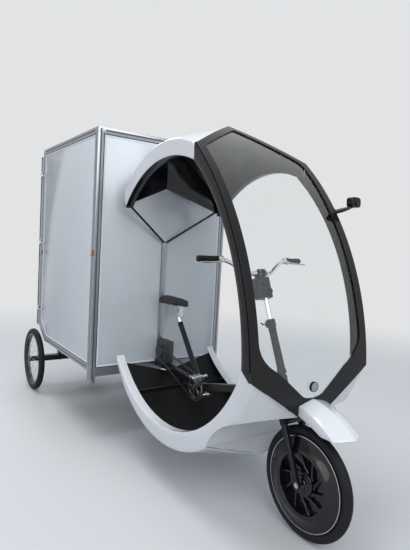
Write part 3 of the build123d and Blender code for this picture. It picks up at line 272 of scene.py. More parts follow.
# name: (colour, roughness, what differs from the usual)
looks = {
    "panel_white": ((0.66, 0.70, 0.74), 0.20, dict(grain=3, tint=0.05, coat_weight=0.4, coat_roughness=0.16)),
    # painted highlight: the panel's white made paler for the light on the trim's slope
    "panel_trim": ((0.80, 0.83, 0.86), 0.22, dict(grain=60, tint=0.04, stretch=(1, 1, 0.1))),
    "shell_white": ((0.82, 0.835, 0.86), 0.16, dict(grain=4, tint=0.04, coat_weight=0.5)),
    "aluminium_rail": (
        (0.36, 0.38, 0.41), 0.34, dict(metallic=0.9, grain=90, stretch=along_z, relief=0.0002)
    ),
    # groove floor: the rail's aluminium made darker, painted shade for the groove's depth
    "groove_dark": ((0.10, 0.105, 0.115), 0.5, dict(metallic=0.6, grain=90, stretch=along_z)),
    "plywood": ((0.34, 0.22, 0.13), 0.55, dict(grain=30, stretch=(0.08, 1, 1), tint=0.35, relief=0.0004)),
    "steel_bright": ((0.55, 0.56, 0.58), 0.30, dict(metallic=1.0, grain=120, relief=0.0001)),
    "frame_black": (
        (0.010, 0.011, 0.013), 0.34, dict(grain=60, tint=0.3, relief=0.0002, specular_ior_level=0.3)
    ),
    "cast_metal": ((0.085, 0.09, 0.095), 0.5, dict(metallic=0.6, grain=220, tint=0.3, relief=0.0008)),
    "alloy_bright": ((0.62, 0.63, 0.65), 0.25, dict(metallic=1.0, grain=80, tint=0.1)),
    "alloy_dark": ((0.045, 0.046, 0.05), 0.32, dict(metallic=0.7, grain=80, tint=0.2)),
    "saddle_black": ((0.018, 0.018, 0.02), 0.55, dict(grain=160, tint=0.3, relief=0.001)),
    "chain_steel": ((0.16, 0.155, 0.15), 0.42, dict(metallic=0.9, grain=160, tint=0.4)),
    "lining_black": (
        (0.008, 0.008, 0.009), 0.60, dict(grain=120, tint=0.3, relief=0.0003, specular_ior_level=0.2)
    ),
    "hood_gloss": ((0.008, 0.009, 0.011), 0.13, dict(grain=20, tint=0.2, rough_swing=0.04)),
    "border_black": (
        (0.006, 0.006, 0.008), 0.20, dict(grain=12, tint=0.2, rough_swing=0.04, specular_ior_level=0.3)
    ),
    "lamp_amber": ((0.80, 0.24, 0.02), 0.15, dict(grain=200, tint=0.25)),
    "lamp_red": ((0.50, 0.015, 0.015), 0.15, dict(grain=200, tint=0.25)),
    "chrome_bright": ((0.78, 0.79, 0.81), 0.08, dict(metallic=1.0, grain=30, tint=0.05)),
    "rubber_black": (
        (0.012, 0.012, 0.012), 0.66, dict(grain=150, tint=0.3, relief=0.0006, specular_ior_level=0.25)
    ),
    "console_dark": (
        (0.016, 0.024, 0.036), 0.34, dict(grain=150, tint=0.2, relief=0.0003, specular_ior_level=0.35)
    ),
    "tyre_black": (
        (0.013, 0.013, 0.014), 0.66, dict(grain=90, tint=0.35, relief=0.0005, specular_ior_level=0.25)
    ),
    "rim_dark": (
        (0.007, 0.007, 0.009), 0.09, dict(grain=40, tint=0.25, rough_swing=0.03, specular_ior_level=0.45)
    ),
    "rim_alloy": ((0.030, 0.031, 0.034), 0.30, dict(metallic=0.6, grain=90, tint=0.2)),
    "screen_clear": ((0.93, 0.96, 0.96), 0.03, dict(
        grain=6, tint=0.02, rough_swing=0.01, transmission_weight=1.0, ior=1.45, specular_ior_level=0.32
    )),
    "lamp_clear": ((0.75, 0.84, 0.98), 0.05, dict(grain=60, tint=0.05, transmission_weight=0.6)),
}
finishes = {}
for name, (colour, roughness, more) in looks.items():
    finishes[name] = finish(name, colour, roughness, **more)
slot_of = {part["node"]: part["material_slot"] for part in frame["record"]["subparts"]}


def dress(name):
    """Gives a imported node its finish, soft shading and a small bevel on its edges."""
    part = nodes[name]
    part.data.materials.clear()
    part.data.materials.append(finishes[slot_of[name]])
    part.data.shade_smooth()
    weld = part.modifiers.new("weld", "WELD")
    weld.merge_threshold = 0.00002
    soften = part.modifiers.new("bevel", "BEVEL")
    soften.width = 0.0012
    soften.segments = 2
    soften.limit_method = "ANGLE"
    soften.angle_limit = radians(35)
    soften.use_clamp_overlap = True
    soften.harden_normals = True


for name in nodes:
    dress(name)
print("dressed", len(nodes), "nodes")

# %% [markdown]
# The shell round the seat is drawn with a few arcs in the side view. Its hood and its tub
# are one sheet each: on the centre line a ridge or a keel, at the side a crease, and
# between the two a twisted flank. A grid of points suits such a sheet, because each row
# runs along the vehicle and can end exactly on the windscreen. The thickness, the soft
# creases and the black inside then come from modifiers, as they do from a mould.

# %% Arcs of the side view
HALF_WIDTH = 0.370
WALL = 0.005
LIP = 0.050


class SideArc:
    """An arc in the side view, as (x, z) in metres, bowed to the left of its chord."""

    def __init__(self, start, end, bow):
        run = Vector(end) - Vector(start)
        left = Vector((-run.y, run.x)).normalized()
        middle = (Vector(start) + Vector(end)) / 2
        self.radius = (run.length**2 / 4 + bow**2) / (2 * abs(bow))
        self.centre = middle + left * (bow - self.radius * (1 if bow > 0 else -1))
        self.first = self.angle_of(start)
        self.sweep = (self.angle_of(end) - self.first + pi) % (2 * pi) - pi

    def angle_of(self, point):
        return atan2(point[1] - self.centre.y, point[0] - self.centre.x)

    def at(self, share, grow=0.0):
        angle = self.first + self.sweep * share
        radius = self.radius + grow
        return Vector((self.centre.x + radius * cos(angle), self.centre.y + radius * sin(angle)))

    def over(self, x):
        """The upper point of the arc's circle at that x."""
        return Vector((x, self.centre.y + sqrt(self.radius**2 - (x - self.centre.x) ** 2)))

    def ahead(self, z, grow=0.0):
        """The foremost point of the arc's circle at that height."""
        return Vector((self.centre.x + sqrt((self.radius + grow) ** 2 - (z - self.centre.y) ** 2), z))


SCREEN_APEX = (0.571, 1.967)
SCREEN_KEEL = (1.312, 0.517)
PILLAR_FOOT = (1.260, 0.801)
HOOD_EDGE_FRONT = (0.816, 1.704)
screen = SideArc(SCREEN_APEX, SCREEN_KEEL, 0.239)
screen_corner = screen.over(0.822)
nose_top = screen.ahead(0.757)
hood_tip = (0.042, 1.589)
hood_crease = SideArc(hood_tip, screen_corner, 0.1366)
hood_edge = SideArc((0.066, 1.502), HOOD_EDGE_FRONT, 0.1308)
pillar_edge = SideArc(HOOD_EDGE_FRONT, PILLAR_FOOT, 0.106)
tub_crease = SideArc((0.035, 0.542), (1.079, 0.408), -0.2228)
tub_edge = SideArc((0.035, 0.579), PILLAR_FOOT, -0.3515)
keel = SideArc((0.035, 0.440), (1.015, 0.256), -0.174)
print("screen radius", round(screen.radius, 3), "hood crease radius", round(hood_crease.radius, 3))

# %% [markdown]
# The tools for such sheets come first. A sheet is a grid of cells between rows of points,
# and modifiers give it its wall and its soft edges. Each finished piece then says which
# body it rides on and which imported node it takes the place of.

# %% A sheet from rows of points
def mesh_piece(name, points, cells, finish_names):
    mesh = bpy.data.meshes.new(name)
    mesh.from_pydata([tuple(p) for p in points], [], cells)
    mesh.shade_smooth()
    piece = into_scene(bpy.data.objects.new(name, mesh))
    for finish_name in finish_names:
        mesh.materials.append(finishes[finish_name])
    return piece


def sheet_from_rows(name, rows, finish_names):
    """A mesh whose rows all have the same number of points."""
    count = len(rows[0])
    cells = []
    for r in range(len(rows) - 1):
        for c in range(count - 1):
            low = r * count + c
            cells.append((low, low + 1, low + 1 + count, low + count))
    return mesh_piece(name, [p for row in rows for p in row], cells, finish_names)


def crisp(piece, angle):
    """Smooth shading that breaks where the surface turns by more than the angle."""
    piece.data.shade_smooth()
    piece.data.set_sharp_from_angle(angle=radians(angle))


def finished(piece, body, slot, *replaced):
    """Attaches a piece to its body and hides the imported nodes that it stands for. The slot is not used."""
    if replaced:
        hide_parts(*replaced)
    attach(piece, body)
    return piece


def soften_edges(piece, width, angle=25, segments=3):
    bevel = piece.modifiers.new("bevel", "BEVEL")
    bevel.width = width
    bevel.segments = segments
    bevel.limit_method = "ANGLE"
    bevel.angle_limit = radians(angle)
    bevel.harden_normals = True
    return bevel


def thicken(piece, wall, inside=1):
    """Gives the sheet its wall on the side that its normals point away from."""
    solid = piece.modifiers.new("wall", "SOLIDIFY")
    solid.thickness = wall
    solid.offset = -1
    solid.use_even_offset = True
    solid.material_offset = inside
    solid.material_offset_rim = 0
    return solid


def settle(piece):
    """Applies the modifiers in order, so that later steps work on the final mesh."""
    bpy.context.view_layer.update()
    graph = bpy.context.evaluated_depsgraph_get()
    mesh = bpy.data.meshes.new_from_object(piece.evaluated_get(graph))
    piece.modifiers.clear()
    old = piece.data
    piece.data = mesh
    bpy.data.meshes.remove(old)
    return piece


def cross_rows(profile):
    """Rows from the left side to the right: the given half and its mirror image."""
    left = [[Vector((p[0], y, p[1])) for p in row] for y, row in profile]
    right = [[Vector((p.x, -p.y, p.z)) for p in row] for row in left[1:]]
    return left[::-1] + right


def between(near, far, share):
    return [p.lerp(q, share) for p, q in zip(near, far)]


# %% [markdown]
# The hood runs forward from the box to the windscreen. Each row of its flank is a curve
# of its own, and the place where it meets the screen is found by halving the distance
# again and again, so the hood ends on the glass without a gap.

# %% Hood
COLUMNS = 44
FLANK_ROWS = 14
RIDGE_REAR = Vector((-0.087, 2.000))
HOOD_LAP = 0.120
ridge_run = (Vector(SCREEN_APEX) - RIDGE_REAR) / (SCREEN_APEX[0] - RIDGE_REAR.x)
ridge_end = RIDGE_REAR + ridge_run * (SCREEN_APEX[0] + HOOD_LAP - RIDGE_REAR.x)
far_crease = hood_crease.over(screen_corner.x + HOOD_LAP)
crease_share = (hood_crease.angle_of(far_crease) - hood_crease.first) / hood_crease.sweep


def hood_point(across, along):
    """A point of the hood's flank: across is 0 on the ridge and 1 on the crease."""
    ridge = RIDGE_REAR.lerp(ridge_end, along)
    return ridge.lerp(hood_crease.at(along * crease_share), across)


def hood_row(across):
    """A row that ends where the flank meets the back of the windscreen."""
    reach = screen.radius - WALL - 0.0003
    low, high = 0.4, 1.0
    for _ in range(40):
        half = (low + high) / 2
        inside = (hood_point(across, half) - screen.centre).length < reach
        low, high = (half, high) if inside else (low, half)
    return [hood_point(across, low * c / COLUMNS) for c in range(COLUMNS + 1)]


def build_hood():
    profile = [(HALF_WIDTH * r / FLANK_ROWS, hood_row(r / FLANK_ROWS)) for r in range(FLANK_ROWS + 1)]
    crease = profile[-1][1]
    edge = [hood_edge.at(c / COLUMNS) for c in range(COLUMNS + 1)]
    profile += [(HALF_WIDTH, between(crease, edge, share)) for share in (0.34, 0.67, 1.0)]
    profile += [(HALF_WIDTH - LIP * share, edge) for share in (0.5, 1.0)]
    piece = sheet_from_rows("hood", cross_rows(profile), ("shell_white", "hood_gloss"))
    piece.data.flip_normals()
    strips = 2 * (len(profile) - 1)
    for face in piece.data.polygons:
        if face.index // COLUMNS in (0, 1, strips - 2, strips - 1):
            face.material_index = 1
    soften_edges(piece, 0.006, angle=18, segments=4)
    thicken(piece, WALL)
    settle(piece)
    for face in piece.data.polygons:
        if face.center.x > 0.79 and face.normal.x > 0.6:
            face.material_index = 1
    nodes["hood_back"].data.materials[0] = finishes["hood_gloss"]
    return finished(piece, "chassis", "shell_white", "hood_shell")


hood = build_hood()
print("hood faces", len(hood.data.polygons))

# %% [markdown]
# The tub follows the same way below the seat. Its rows run along the keel, up the chin
# and to the foot of the windscreen. The front wheel needs room to turn, so a cylinder
# about its axle is cut out of the finished wall, as a saw would do after moulding.

# %% Tub
AXLE = Vector((1.320, 0.0, 0.255))
ARCH_RADIUS = 0.312


def chain_points(arc, chin, top, counts):
    """Points along the arc, then straight to the chin, then straight to the top."""
    row = [arc.at(c / counts[0]) for c in range(counts[0] + 1)]
    front = row[-1]
    row += [front.lerp(Vector(chin), c / counts[1]) for c in range(1, counts[1] + 1)]
    row += [Vector(chin).lerp(Vector(top), c / counts[2]) for c in range(1, counts[2] + 1)]
    return row


def lengths_along(row):
    """The distance from the row's start to each of its points."""
    lengths = [0.0]
    for p, q in zip(row, row[1:]):
        lengths.append(lengths[-1] + (q - p).length)
    return lengths


def shares_along(row):
    """How far along its row each point is, from 0 to 1."""
    lengths = lengths_along(row)
    return [length / lengths[-1] for length in lengths]


def build_tub():
    counts = (40, 8, 8)
    low = chain_points(keel, (1.219, 0.333), SCREEN_KEEL, counts)
    crease = chain_points(tub_crease, (1.230, 0.573), nose_top, counts)
    edge = [tub_edge.at(share) for share in shares_along(crease)]
    flank_rows = 10
    profile = [
        (HALF_WIDTH * r / flank_rows, between(low, crease, r / flank_rows)) for r in range(flank_rows + 1)
    ]
    profile += [(HALF_WIDTH, between(crease, edge, share)) for share in (0.25, 0.5, 0.75, 1.0)]
    profile += [(HALF_WIDTH - LIP * share, edge) for share in (0.5, 1.0)]
    piece = sheet_from_rows("tub", cross_rows(profile), ("shell_white", "lining_black"))
    soften_edges(piece, 0.005, angle=24, segments=4)
    thicken(piece, WALL)
    settle(piece)
    cutter_mesh = bpy.data.meshes.new("arch_cutter")
    ring = bmesh.new()
    turn = Matrix.Translation(AXLE) @ Matrix.Rotation(pi / 2, 4, "X")
    bmesh.ops.create_cone(
        ring, cap_ends=True, segments=160, radius1=ARCH_RADIUS, radius2=ARCH_RADIUS, depth=1.6, matrix=turn
    )
    ring.to_mesh(cutter_mesh)
    ring.free()
    cutter = into_scene(bpy.data.objects.new("arch_cutter", cutter_mesh))
    cut = piece.modifiers.new("cut", "BOOLEAN")
    cut.operation = "DIFFERENCE"
    cut.object = cutter
    cut.solver = "EXACT"
    settle(piece)
    bpy.data.objects.remove(cutter)
    crisp(piece, 32)
    return finished(piece, "chassis", "shell_white", "tub_shell")


tub = build_tub()
print("tub faces", len(tub.data.polygons))

# %% [markdown]
# The windscreen is one clear sheet bent round a cylinder. A wide gloss black border holds
# it, with a rounded inner edge, and hides the sheet's own edge. Both are drawn flat, in
# width and in turn about the cylinder's axis, and then wrapped round the cylinder: the
# outlines stay easy to read, and the two surfaces stay true to each other.

# %% Outlines on the bent sheet
NOSE_SEAM = 0.0028


def screen_low(y):
    return SCREEN_KEEL[1] + NOSE_SEAM + (nose_top.y - SCREEN_KEEL[1]) * abs(y) / HALF_WIDTH


def screen_high(y):
    return SCREEN_APEX[1] + (screen_corner.y - SCREEN_APEX[1]) * abs(y) / HALF_WIDTH


def flat_point(y, z):
    """A point of the sheet laid out flat: its width, and its length round the bend."""
    return Vector((y, screen.angle_of(screen.ahead(z)) * screen.radius))


def wrapped(point, grow=0.0):
    turn = point.y / screen.radius
    reach = screen.radius + grow
    return (screen.centre.x + reach * cos(turn), point.x, screen.centre.y + reach * sin(turn))


def pulled_curve(start, pull, end, steps):
    """Points from start to end along a curve that is drawn towards a third point."""
    shares = [s / steps for s in range(steps + 1)]
    return [start * (1 - t) ** 2 + pull * 2 * t * (1 - t) + end * t**2 for t in shares]


def round_corner(before, corner, after, radius, steps):
    """The bend that takes the place of a corner between its two neighbours."""
    start = corner + (before - corner).normalized() * radius
    end = corner + (after - corner).normalized() * radius
    return pulled_curve(start, corner, end, steps)


def rounded(corners, radii, steps=7):
    """An open chain whose inner corners are rounded, each with its own radius."""
    row = [corners[0]]
    for before, corner, after, radius in zip(corners, corners[1:], corners[2:], radii):
        row += round_corner(before, corner, after, radius, steps)
    return row + [corners[-1]]


def evenly(row, count):
    """The same chain as count + 1 points at even distances."""
    shares = shares_along(row)
    points = []
    place = 0
    for c in range(count + 1):
        share = c / count
        while place < len(row) - 2 and shares[place + 1] < share:
            place += 1
        part = (share - shares[place]) / max(shares[place + 1] - shares[place], 1e-9)
        points.append(row[place].lerp(row[place + 1], min(part, 1.0)))
    return points


flat_height = flat_point(0, SCREEN_APEX[1]).y - flat_point(0, SCREEN_KEEL[1]).y
print("flat height of the screen", round(flat_height, 3))

# %% [markdown]
# The border is a band between two outlines: the rounded edge of the clear window and the
# outer edge of the screen. Both have the same number of points, so they pair up.

# %% Black border
CLEAR_HALF = 0.324
CLEAR_CORNER_Z = 0.872
CLEAR_BELOW_TOP = 0.030
BORDER_WALL = 0.0062
BORDER_STEPS = 5


def clear_outline():
    """The left half of the clear window, from the middle of its foot up to the middle of its top."""
    foot = [(0.0, 0.648), (0.055, 0.655), (0.125, 0.711), (0.205, 0.776), (0.27, 0.815)]
    foot.append((CLEAR_HALF, CLEAR_CORNER_Z))
    head = [(y, screen_high(y) - CLEAR_BELOW_TOP) for y in (CLEAR_HALF, 0.0)]
    corners = [flat_point(y, z) for y, z in foot + head]
    return rounded(corners, (0.02, 0.03, 0.03, 0.03, 0.05, 0.035))


def half_border():
    """Matching rows of points along the window's edge and along the border's outer edge."""
    clear = clear_outline()
    corner_foot = flat_point(HALF_WIDTH, screen_low(HALF_WIDTH))
    corner_head = flat_point(HALF_WIDTH, screen_high(HALF_WIDTH))
    foot = flat_point(CLEAR_HALF, CLEAR_CORNER_Z)
    head = flat_point(CLEAR_HALF, screen_high(CLEAR_HALF) - CLEAR_BELOW_TOP)
    foot_split, head_split = (
        min(range(len(clear)), key=lambda i, end=end: (clear[i] - end).length) for end in (foot, head)
    )
    parts = (
        (clear[: foot_split + 1], [flat_point(0, screen_low(0)), corner_foot], 34),
        (clear[foot_split : head_split + 1], [corner_foot, corner_head], 56),
        (clear[head_split:], [corner_head, flat_point(0, screen_high(0))], 24),
    )
    inner, outer = [], []
    for near, far, count in parts:
        inner += evenly(near, count)[: -1]
        outer += evenly(far, count)[: -1]
    return inner + [clear[-1]], outer + [flat_point(0, screen_high(0))]


def closed_loop(half):
    other = [Vector((-p.x, p.y)) for p in half[1:-1]]
    return half + other[::-1]


def ring_cells(rings, count, wrap=False):
    """Cells between closed rings of points that follow each other, back to the first if wrapped."""
    cells = []
    for r in range(rings if wrap else rings - 1):
        low, high = r * count, (r + 1) % rings * count
        for c in range(count):
            d = (c + 1) % count
            cells.append((low + c, low + d, high + d, high + c))
    return cells


def ring_mesh(name, loops, finish_names):
    """A band of cells between each closed loop and the next."""
    cells = ring_cells(len(loops), len(loops[0]))
    return mesh_piece(name, [p for loop in loops for p in loop], cells, finish_names)


def build_border():
    inner, outer = (closed_loop(half) for half in half_border())
    loops = []
    for step in range(BORDER_STEPS + 1):
        share = step / BORDER_STEPS
        loops.append([wrapped(p.lerp(q, share), 0.0006) for p, q in zip(inner, outer)])
    piece = ring_mesh("screen_border", loops, ("border_black",))
    thicken(piece, BORDER_WALL, inside=0)
    soften_edges(piece, 0.0012, angle=40, segments=2)
    settle(piece)
    return finished(piece, "chassis", "border_black", "cowl", "screen_header")


border = build_border()
print("border faces", len(border.data.polygons))

# %% [markdown]
# The clear sheet follows the same bend, and its edge is let into the border all round. It
# is laid out flat and wrapped as well, so it can't drift away from the border.

# %% Clear sheet
def build_windscreen():
    half = HALF_WIDTH - 0.022
    rows = []
    widths, lengths = 24, 72
    for w in range(widths + 1):
        y = half * (2 * w / widths - 1)
        low = flat_point(y, screen_low(y) + 0.03)
        high = flat_point(y, screen_high(y) - 0.012)
        rows.append([wrapped(low.lerp(high, s / lengths), -0.0001) for s in range(lengths + 1)])
    piece = sheet_from_rows("windscreen_sheet", rows, ("screen_clear",))
    piece.data.flip_normals()
    thicken(piece, WALL - 0.0002, inside=0)
    settle(piece)
    crisp(piece, 40)
    return finished(piece, "chassis", "screen_clear", "windscreen")


glass = build_windscreen()
print("windscreen", [round(v, 3) for v in glass.dimensions])

# %% [markdown]
# The black corner mouldings run down both sides of the screen. Each is a flat cheek that
# lies between the screen's bend and the curve of the side opening, with a narrow lip
# that turns in along the opening, so that the edge looks as thick as a hand-hold.

# %% Corner mouldings
def word_for(side):
    """The side's name: 1 is left and -1 is right, as along the y axis."""
    return "left" if side > 0 else "right"


def build_pillar(side):
    word = word_for(side)
    steps = 64
    start = screen.angle_of(screen_corner)
    end = screen.angle_of(nose_top)
    bend = []
    for s in range(steps + 1):
        turn = start + (end - start) * s / steps
        bend.append(screen.centre + Vector((cos(turn), sin(turn))) * screen.radius)
    opening = [pillar_edge.at(s / steps) for s in range(steps + 1)]
    profile = [(HALF_WIDTH - 0.0004, between(bend, opening, share)) for share in (0, 0.02, 0.5, 1.0)]
    profile += [(HALF_WIDTH - LIP * share, opening) for share in (0.5, 1.0)]
    rows = [[(p.x, side * y, p.y) for p in row] for y, row in profile]
    piece = sheet_from_rows(f"pillar_moulding_{word}", rows, ("border_black",))
    if side > 0:
        piece.data.flip_normals()
    soften_edges(piece, 0.004, angle=30, segments=3)
    thicken(piece, 0.004, inside=0)
    settle(piece)
    crisp(piece, 40)
    return finished(piece, "chassis", "border_black", f"pillar_{word}")


for side in (1, -1):
    pillar = build_pillar(side)
    print(pillar.name, len(pillar.data.polygons))

# %% [markdown]
# A wheel is drawn as half of its cross-section and spun about its axle, the way it would
# be turned on a lathe. Rounding the corners of the outline before it is spun gives every
# edge a highlight, at no cost in modifiers.

# %% Lathe
def turns_round(count):
    """The angles of that many even steps round a circle."""
    return [2 * pi * step / count for step in range(count)]


def round_outline(corners, steps=3):
    """A closed outline from (y, radius, fillet) corners."""
    row = []
    places = [Vector(corner[:2]) for corner in corners]
    for i, (_, _, fillet) in enumerate(corners):
        if fillet:
            row += round_corner(places[i - 1], places[i], places[(i + 1) % len(places)], fillet, steps)
        else:
            row.append(places[i])
    return row


def both_flanks(half):
    """A symmetric outline from the corners of its left flank, inner edge first."""
    return list(half) + [(-y, r, fillet) for y, r, fillet in reversed(half)]


def face_outward(piece):
    mesh = bmesh.new()
    mesh.from_mesh(piece.data)
    bmesh.ops.recalc_face_normals(mesh, faces=mesh.faces)
    mesh.to_mesh(piece.data)
    mesh.free()


def end_caps(rings, count):
    """The faces that close the first ring and the last."""
    return [tuple(range(count)), tuple((rings - 1) * count + c for c in range(count))]


def closed_piece(name, points, cells, finish_name, angle):
    """A closed mesh with its faces outward and its sharper edges kept."""
    piece = mesh_piece(name, points, cells, (finish_name,))
    face_outward(piece)
    crisp(piece, angle)
    return piece


def lathe(name, outline, place, finish_name, steps=160):
    points = []
    for turn in turns_round(steps):
        points += [(place[0] + r * cos(turn), place[1] + y, place[2] + r * sin(turn)) for y, r in outline]
    return closed_piece(name, points, ring_cells(steps, len(outline), True), finish_name, 30)


def joined(name, pieces):
    """One object from several that share one finish."""
    mesh = bmesh.new()
    for piece in pieces:
        mesh.from_mesh(piece.data)
    first = pieces[0]
    mesh.to_mesh(first.data)
    mesh.free()
    for piece in pieces[1:]:
        old = piece.data
        bpy.data.objects.remove(piece)
        bpy.data.meshes.remove(old)
    first.name = name
    return first


def tube(name, route, radius, finish_name, sides=10, flat=1.0, taper=1.0):
    """A bar along the points of a route, flatter or thinner towards its end where asked."""
    points = []
    last = len(route) - 1
    side = None
    for i, p in enumerate(route):
        along = (route[min(i + 1, last)] - route[max(i - 1, 0)]).normalized()
        if side is None:
            side = along.orthogonal().normalized()
        side = (side - along * side.dot(along)).normalized()
        other = along.cross(side)
        reach = radius * (1 + (taper - 1) * i / last)
        for turn in turns_round(sides):
            points.append(p + side * (reach * cos(turn)) + other * (reach * flat * sin(turn)))
    cells = ring_cells(last + 1, sides) + end_caps(last + 1, sides)
    return closed_piece(name, points, cells, finish_name, 50)


print("lathe ready")

# %% [markdown]
# The tyres are slick in the middle with shallow grooves, like most tyres made for a
# delivery machine. A tyre's section is nearly round. The tread is cut in by moving the
# points of the spun grid inwards where a groove passes, so the grooves are real and
# catch the light along their edges.

# %% Tyres
RING_RADIUS = 0.232
SECTION_HALF = 0.0235
SECTION_RISE = 0.023
GROOVE_DEPTH = 0.0013
TYRE_STEPS = 288
SLANTS = 48
TREAD_DEGREES = (-48, -36, -22, -8, 6, 18, 30, 40, 46, 52, 58, 64, 68, 71, 74, 77, 81, 85, 90)
TREAD_TURNS = [radians(a) for a in TREAD_DEGREES]


def tread_depth(section_turn, wheel_turn):
    """How deep the tread is cut: two grooves round the wheel and slanted cuts beside them."""
    off_middle = abs(degrees(section_turn) - 90)
    depth = 0.0
    if 13 < off_middle < 19:
        depth = 1.0
    slant = (wheel_turn / (2 * pi) * SLANTS + off_middle / 34) % 1.0
    if 22 < off_middle < 50 and slant < 0.17:
        depth = 0.9
    if off_middle < 9 and (slant + 0.5) % 1.0 < 0.09:
        depth = 0.6
    return depth * GROOVE_DEPTH


def build_tyre(name, node, body, x, y):
    section = TREAD_TURNS + [pi - t for t in reversed(TREAD_TURNS[:-1])]
    points = []
    for turn in turns_round(TYRE_STEPS):
        for section_turn in section:
            cut = tread_depth(section_turn, turn)
            r = RING_RADIUS + (SECTION_RISE - cut) * sin(section_turn)
            across = (SECTION_HALF - cut) * cos(section_turn)
            points.append((x + r * cos(turn), y + across, AXLE.z + r * sin(turn)))
    piece = closed_piece(name, points, ring_cells(TYRE_STEPS, len(section), True), "tyre_black", 38)
    return finished(piece, body, "tyre_black", node)


REAR_X = -1.320
HALF_TRACK = 0.513
wheels = (
    ("front", "front_tyre", "front_wheel", AXLE.x, 0.0),
    ("rear_left", "rear_tyre_left", "rear_wheel_left", REAR_X, HALF_TRACK),
    ("rear_right", "rear_tyre_right", "rear_wheel_right", REAR_X, -HALF_TRACK),
)
for place, node, body, x, y in wheels:
    tyre = build_tyre(f"tyre_{place}", node, body, x, y)
print("tyre faces", len(tyre.data.polygons))

# %% [markdown]
# The front wheel is a cast disc, dark and glossy. Its rim carries on inwards as a dish
# that rises to a shoulder, and inside the shoulder ten ribs swirl from the hub. Each rib
# is a rounded bar bent along an arc, with its ends let into the hub and the shoulder. A
# thin black plate behind the ribs closes the wheel, as nothing shows through it.

# %% Front wheel
HUB_RADIUS = 0.058
SHOULDER_INSIDE = 0.134
SHOULDER_OUTSIDE = 0.1505
RIM_RADIUS = 0.2150
VANES = 10
VANE_STEPS = 12
VANE_TWIST = radians(34)
VANE_BOW = 0.017
VANE_CORNERS = ((0.019, 0.0066), (-0.019, 0.0066), (-0.019, -0.0066), (0.019, -0.0066))


def vane_line(start):
    """The middle line of a rib in the wheel's plane, from the hub out to the shoulder."""
    inner, outer = HUB_RADIUS - 0.004, SHOULDER_INSIDE + 0.004
    middle = (inner + outer) / 2
    turns = (start, start + VANE_TWIST / 2 + VANE_BOW / middle, start + VANE_TWIST)
    foot, half, head = (Vector((r * cos(a), r * sin(a))) for r, a in zip((inner, middle, outer), turns))
    return pulled_curve(foot, half * 2 - (foot + head) / 2, head, VANE_STEPS)


def build_vane(start):
    row = vane_line(start)
    section = round_outline([(y, r, 0.006) for y, r in VANE_CORNERS])
    points = []
    for i, p in enumerate(row):
        along = (row[min(i + 1, VANE_STEPS)] - row[max(i - 1, 0)]).normalized()
        side = Vector((-along.y, along.x))
        widen = 1.0 + 1.1 * abs(2 * i / VANE_STEPS - 1) ** 3
        for y, across in section:
            q = p + side * across * widen
            points.append((AXLE.x + q.x, y, AXLE.z + q.y))
    piece = mesh_piece("vane", points, ring_cells(len(row), len(section)), ("rim_dark",))
    face_outward(piece)
    return piece


def build_front_wheel():
    shares = [0.2 + step / 15 for step in range(13)]
    flank = [(0.0205 + 0.0195 * (1 - t) ** 1.5, SHOULDER_OUTSIDE + 0.0555 * t, 0) for t in shares]
    dish = both_flanks((
        (0.0395, SHOULDER_INSIDE, 0.0065), (0.0400, SHOULDER_OUTSIDE, 0.0090), *flank,
        (0.0225, 0.2085, 0.001), (0.0225, RIM_RADIUS, 0.0015),
        (0.0170, RIM_RADIUS, 0.0015), (0.0140, 0.2080, 0.002),
    ))
    hub = both_flanks((
        (0.0320, 0.0062, 0.0), (0.0320, 0.0200, 0.002), (0.0270, 0.0220, 0.001), (0.0270, 0.0380, 0.002),
        (0.0245, 0.0400, 0.001), (0.0245, 0.0470, 0.001), (0.0275, 0.0490, 0.001), (0.0275, 0.0560, 0.002),
        (0.0240, HUB_RADIUS, 0.001),
    ))
    parts = [lathe("dish", round_outline(dish, 6), AXLE, "rim_dark", 192)]
    parts.append(lathe("hub", round_outline(hub, 2), AXLE, "rim_dark", 96))
    parts += [build_vane(turn) for turn in turns_round(VANES)]
    web = both_flanks(((0.0020, HUB_RADIUS - 0.006, 0.0), (0.0020, SHOULDER_INSIDE + 0.006, 0.0)))
    parts.append(lathe("web", [Vector(corner[:2]) for corner in web], AXLE, "rim_dark", 96))
    piece = joined("front_wheel_disc", parts)
    crisp(piece, 34)
    return finished(piece, "front_wheel", "rim_dark", "front_rim")


disc = build_front_wheel()
print("front disc faces", len(disc.data.polygons))

# %% [markdown]
# A thin polished line runs round both edges of the rim, and six small bolts hold each
# side of the hub. The nuts on the axle's ends belong to the fork, so they don't spin.
# The heads are real shapes with washers, because painted ones would catch no light.

# %% Front wheel's bright line and fasteners
WASHER_SIDES = 24
FORK_OUTSIDE = 0.0630
RIM_LINE_HALF = 0.0008


def bolt_heads(name, centres, radius, height, finish_name, steps=6, axis=(0, 1, 0)):
    """Hexagon heads with a washer, standing on their centres along the axis."""
    along = Vector(axis).normalized()
    across = along.orthogonal().normalized()
    other = along.cross(across)
    points, cells = [], []
    for centre in centres:
        layers = (
            (1.45, 0.0, WASHER_SIDES), (1.45, 0.22, WASHER_SIDES),
            (1.0, 0.22, steps), (1.0, 0.9, steps), (0.82, 1.0, steps),
        )
        rings = []
        for scale, rise, count in layers:
            first = len(points)
            p = Vector(centre) + along * height * rise
            for turn in turns_round(count):
                points.append(p + (across * cos(turn) + other * sin(turn)) * radius * scale)
            rings.append((first, count))
        for low, count in (rings[0], rings[2], rings[3]):
            cells += [tuple(low + c for c in cell) for cell in ring_cells(2, count)]
        cells.append(tuple(rings[1][0] + s for s in range(WASHER_SIDES)))
        cells.append(tuple(rings[4][0] + s for s in range(steps)))
    return closed_piece(name, points, cells, finish_name, 30)


def heads_on_both_sides(name, spots, radius, height, finish_name="steel_bright"):
    """Heads at the spots, which are given for the left side, and at their mirror images."""
    pieces = []
    for side in (1, -1):
        places = [(x, side * y, z) for x, y, z in spots]
        pieces.append(bolt_heads("heads", places, radius, height, finish_name, axis=(0, side, 0)))
    return joined(name, pieces)


